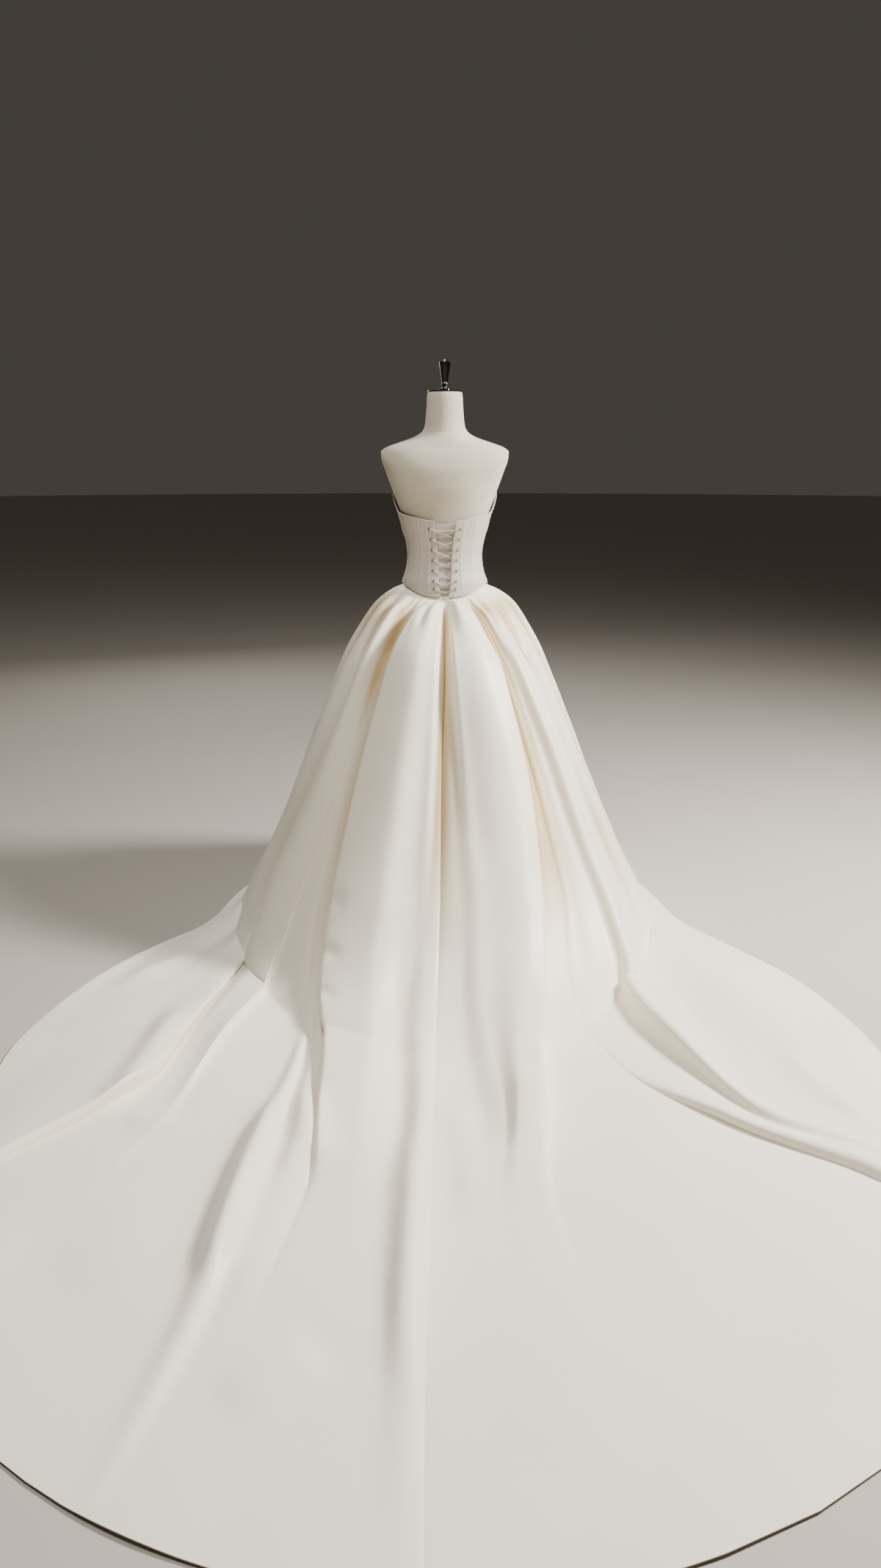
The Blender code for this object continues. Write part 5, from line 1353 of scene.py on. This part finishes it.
# ---------------------------------------------------------------- skirt
class GOWN_OT_skirt(bpy.types.Operator):
    """The five cloth pieces of the skirt and train"""

    bl_idname = "gown.skirt"
    bl_label = "Skirt and train"

    def execute(self, context):
        cloth, colours = context.scene.gown_sizes.cloth, context.scene.gown_colours
        satin = material_named(
            "woven_duchesse_satin", satin_material, colours.satin, colours.satin_painted_shade, 0.40, 0.05, 0.0012
        )
        inner, normal, hollow, starts = skirt_surface()
        for (node, _, flat, area), start, end in zip(SKIRT_PIECES, starts, starts[1:]):
            span = np.arange(start, end + 1) % len(inner)
            wall = np.full((len(span), 1, 1), cloth)
            wall[[0, -1]] *= SEAM_WALL  # the pressed seam: the outer face sinks at the piece's two sides
            name = f"{node}_satin"
            mesh = shell(name, inner[span], inner[span] + normal[span] * wall, hollow[span])
            piece = add_piece(name, mesh, satin, "ivory_satin", node)
        return {"FINISHED"}


# ---------------------------------------------------------------- bodice
def panel_mesh(node, azimuth, wall, bones):
    """A bodice panel on the body, with its bones' channels, its sunk seams and a little slack."""
    low, high = edge_heights(azimuth)
    height = low + (high - low) * np.linspace(0, 1, azimuth.shape[1])[None]
    t = np.linspace(0, 1, len(azimuth))[:, None]
    out = SLACK * np.sin(height * 41 + azimuth * 0.09) * np.sin(height * 23 + 1.7)
    out = out - SEAM_SINK * (np.exp(-((t / SEAM_SHARE) ** 2)) + np.exp(-(((1 - t) / SEAM_SHARE) ** 2)))
    for centre, wide in bones:
        out = out + BONE_RISE * np.exp(-(((t - centre) / wide) ** 4))
    inner = body_points(azimuth, height, out * 0.3 - wall)
    return shell(f"{node}_cloth", inner, body_points(azimuth, height, out))


def line_mesh(name, lines):
    """A mesh of edges only, one chain for each line."""
    points, edges = [], []
    for line in lines:
        start = len(points)
        points += [tuple(p) for p in line]
        edges += [(i, i + 1) for i in range(start, len(points) - 1)]
    mesh = bpy.data.meshes.new(name)
    mesh.from_pydata(points, edges, [])
    return mesh


def lace_ground(name, first, last, margin):
    """The face that lace work is laid on: open, a little outside the panels."""
    azimuth = np.repeat(np.linspace(first, last, 90)[:, None], 40, 1)
    low, high = edge_heights(azimuth)
    height = low + margin + (high - low - 2 * margin) * np.linspace(0, 1, 40)[None]
    points = body_points(azimuth, height, np.full(azimuth.shape, ON_FACE))
    mesh = grid_mesh(name, points.reshape(-1, 3), grid_quads(*azimuth.shape)[1][:, ::-1].tolist())
    middle = mesh.polygons[len(mesh.polygons) // 2]
    if middle.normal.dot(Vector((middle.center.x, middle.center.y, 0))) < 0:
        mesh.flip_normals()
    return new_object(name, mesh)


def flower_mesh():
    """One lace motif, flat on its back: a corded five-petal outline, an inner ring and two leaves."""
    cord = 0.00055
    paths = []
    # radius, depth of the petals as a share, their number, height and points of each ring
    for radius, swell, petals, lift, count in ((0.006, 0.24, 5, cord, 31), (0.0024, 0, 1, cord * 1.3, 11)):
        angles = np.linspace(0, math.tau, count)
        reach = radius * (1 + swell * np.cos(petals * angles))
        paths.append(np.stack([reach * np.cos(angles), reach * np.sin(angles), np.full(count, lift)], -1))
    t = np.linspace(0, math.tau, 11)
    along, wide = 0.0100 + 0.0034 * np.cos(t), 0.0013 * np.sin(t) * (1 + 0.3 * np.cos(t))
    for turn in (0.6, 3.5):
        x, y = along * math.cos(turn) - wide * math.sin(turn), along * math.sin(turn) + wide * math.cos(turn)
        paths.append(np.stack([x, y, np.full(11, cord)], -1))
    return joined_tubes("flower_shape", paths, cord, 4)


def bead_mesh(radius):
    cage = bmesh.new()
    bmesh.ops.create_icosphere(cage, subdivisions=2, radius=radius)
    bmesh.ops.translate(cage, vec=(0, 0, radius * 0.7), verts=cage.verts[:])
    return baked(cage, "bead_shape")


class GOWN_OT_bodice(bpy.types.Operator):
    """The bodice panels, the modesty panel and their trims"""

    bl_idname = "gown.bodice"
    bl_label = "Bodice"

    def execute(self, context):
        sizes, colours = context.scene.gown_sizes, context.scene.gown_colours
        # a duller satin whose darker colour is partly painted shade
        satin = material_named(
            "woven_corset_satin", satin_material, colours.bodice, colours.bodice_painted_shade, 0.46, 0.08, 0.0012
        )
        lace = material_named("corded_lace_over_satin", lace_material, colours.lace, colours.lace_cord)
        for node, first, last in BODICE_PANELS:
            columns = max(12, round((last - first) * 0.8))
            azimuth = np.repeat(np.linspace(first, last, columns)[:, None], PANEL_ROWS, 1)
            if "side_back" in node:
                self.add_panel(node, panel_mesh(node, azimuth, sizes.panel, PLAIN_BONES), satin)
            else:
                mesh = panel_mesh(node, azimuth, sizes.panel, LACE_BONES)
                self.add_panel(node, mesh, lace, "beaded_lace_satin")
        low, high = [float(edge) for edge in edge_heights(16)]
        heights = low + (high - low) * np.linspace(0, 1, PANEL_ROWS)
        for side, letter in SIDES:
            node = f"bodice_back_{letter}"
            starts = np.array([laced_azimuth(side, height, 0.0) for height in heights])
            azimuth = starts[None] + (side * BACK_PANEL_END - starts[None]) * np.linspace(0, 1, 40)[:, None]
            mesh = panel_mesh(node, azimuth, sizes.panel, PLAIN_BONES)
            self.add_panel(node, punch_holes(mesh, side), satin)
        self.add_modesty(satin)
        for side, letter in SIDES:
            self.add_piping(side, letter, sizes, satin)
            self.add_waist_strip(side, letter, sizes, satin)
        self.add_stitches(sizes, colours)
        self.add_lace_work(sizes, colours, lace)
        return {"FINISHED"}

    def add_panel(self, node, mesh, material, slot="bodice_satin"):
        """A bodice panel on its body. Its cut's rectangle and area are looked up, and not used."""
        piece = add_piece(f"{node}_cloth", mesh, material, slot, node)
        width, length, area = PANEL_CUTS[node.removesuffix("_l").removesuffix("_r")]

    def add_modesty(self, satin):
        """The panel behind the lacing, with soft ripples down its middle."""
        across = np.linspace(-MODESTY_HALF, MODESTY_HALF, 44)
        heights = np.linspace(MODESTY_LOW, MODESTY_HIGH, 54)
        azimuth = np.array([[back_azimuth(x, h) for h in heights[::6]] for x in across])
        azimuth = np.array([np.interp(heights, heights[::6], row) for row in azimuth])
        height = np.broadcast_to(heights, azimuth.shape)
        out = 0.0006 * np.sin(height * 160 + 0.6) * np.exp(-((across[:, None] / 0.03) ** 2))
        out = out - MODESTY_DEPTH - MODESTY_TUCK * ease((1.056 - height) / 0.026)
        inner = body_points(azimuth, height, out - MODESTY_WALL)
        mesh = shell("modesty_panel_cloth", inner, body_points(azimuth, height, out))
        self.add_panel("modesty_panel", mesh, satin)

    def add_piping(self, side, letter, sizes, satin):
        azimuth = np.linspace(laced_azimuth(side, 1.245, 0.001), side * 180, 150)
        path = body_points(azimuth, edge_heights(azimuth)[1], -sizes.panel / 2)
        name = f"top_piping_{letter}"
        add_piece(name, tube_mesh(name, path, sizes.piping_radius, 8), satin, "bodice_satin")

    def add_waist_strip(self, side, letter, sizes, satin):
        """The strip along a back panel's lower edge, thickest at its middle."""
        columns, rows = 60, 10
        start = laced_azimuth(side, 1.03, 0.0006)
        azimuth = np.repeat(np.linspace(start, side * 45, columns)[:, None], rows, 1)
        share = np.linspace(0, 1, rows)[None]
        height = edge_heights(azimuth)[0] + 0.0008 + sizes.band_height * share
        outer = body_points(azimuth, height, ON_FACE + 0.0007 * np.maximum(np.sin(share * math.pi), 0) ** 0.5)
        name = f"waist_strip_{letter}"
        mesh = shell(name, body_points(azimuth, height, np.full(azimuth.shape, 0.0001)), outer)
        add_piece(name, mesh, satin, "bodice_satin")

    def add_stitches(self, sizes, colours):
        """Rows of stitches on the waist strips, beside the laced edges and under the piping."""
        # painted shade: the gaps between the thread's strands take the cord's darker colour
        thread = material_named("twisted_polyester_thread", cord_material, colours.thread, colours.cord, 0.0004)
        lines = []
        for side, _ in SIDES:
            for rise in (0.0045, sizes.band_height - 0.0025):
                azimuth = np.linspace(back_azimuth(side * 0.016, 1.03), side * 44, 60)
                lines.append(body_points(azimuth, edge_heights(azimuth)[0] + rise, 0.0013))
            for inset in (0.004, 0.028):
                heights = np.linspace(1.05, 1.236, 60)
                azimuth = np.array([laced_azimuth(side, height, inset) for height in heights])
                lines.append(body_points(azimuth, heights, 0.0006))
            azimuth = np.linspace(side * 20, side * 178, 200)
            lines.append(body_points(azimuth, edge_heights(azimuth)[1] - 0.006, ON_FACE))
        source = new_object("stitch_lines", line_mesh("stitch_lines", lines))
        values = {"Spacing": sizes.stitch_spacing, "Length": 0.0024, "Thickness": 0.0005}
        placed(made_by_nodes("bodice_stitches", source, stitch_tree(thread), values), "bodice_satin")

    def add_lace_work(self, sizes, colours, lace):
        """Corded flowers and beads over the front and side front panels, and a few beads beyond them."""
        glass = material_named("pearl_lustre_glass_bead", bead_material, colours.bead)
        flower, bead = flower_mesh(), bead_mesh(sizes.bead_radius)
        # name, shape, material, the ground's first and last azimuth and margin, and what the tree is told
        work = (
            ("lace_flowers", flower, lace, (83, 277, 0.004), (sizes.motif_apart, 4, 0.75, 1.15)),
            ("lace_beads", bead, glass, (79, 281, 0.001), (sizes.bead_apart, 9, 0.7, 1.25)),
        )
        for name, mesh, material, ground, settings in work:
            mesh.materials.append(material)
            shape = new_object(mesh.name, mesh)
            values = dict(zip(("Apart", "Seed", "Smallest", "Largest"), settings))
            source, tree = lace_ground(f"{name}_ground", *ground), scatter_tree(name, shape, material)
            placed(made_by_nodes(name, source, tree, values), "beaded_lace_satin")
            bpy.data.objects.remove(shape)


# ---------------------------------------------------------------- add-on
class GOWN_PT_panel(bpy.types.Panel):
    """Sidebar panel that lists the gown's operators and settings"""

    bl_idname = "GOWN_PT_panel"
    bl_label = "Gown"
    bl_space_type = "VIEW_3D"
    bl_region_type = "UI"
    bl_category = "Gown"

    def draw(self, context):
        for operator in OPERATORS:
            self.layout.operator(operator.bl_idname)
        for settings in (context.scene.gown_sizes, context.scene.gown_colours):
            column = self.layout.column()
            for name in settings.__annotations__:
                column.prop(settings, name)


OPERATORS = (GOWN_OT_stage, GOWN_OT_lacing, GOWN_OT_form, GOWN_OT_skirt, GOWN_OT_bodice)
CLASSES = (GownSizes, GownColours, *OPERATORS, GOWN_PT_panel)


def register():
    for cls in CLASSES:
        bpy.utils.register_class(cls)
    bpy.types.Scene.gown_sizes = bpy.props.PointerProperty(type=GownSizes)
    bpy.types.Scene.gown_colours = bpy.props.PointerProperty(type=GownColours)


def unregister():
    del bpy.types.Scene.gown_colours
    del bpy.types.Scene.gown_sizes
    for cls in reversed(CLASSES):
        bpy.utils.unregister_class(cls)


def main():
    register()
    bpy.ops.gown.stage()
    bpy.ops.gown.lacing()
    bpy.ops.gown.form()
    bpy.ops.gown.skirt()
    bpy.ops.gown.bodice()


if __name__ == "__main__":
    main()
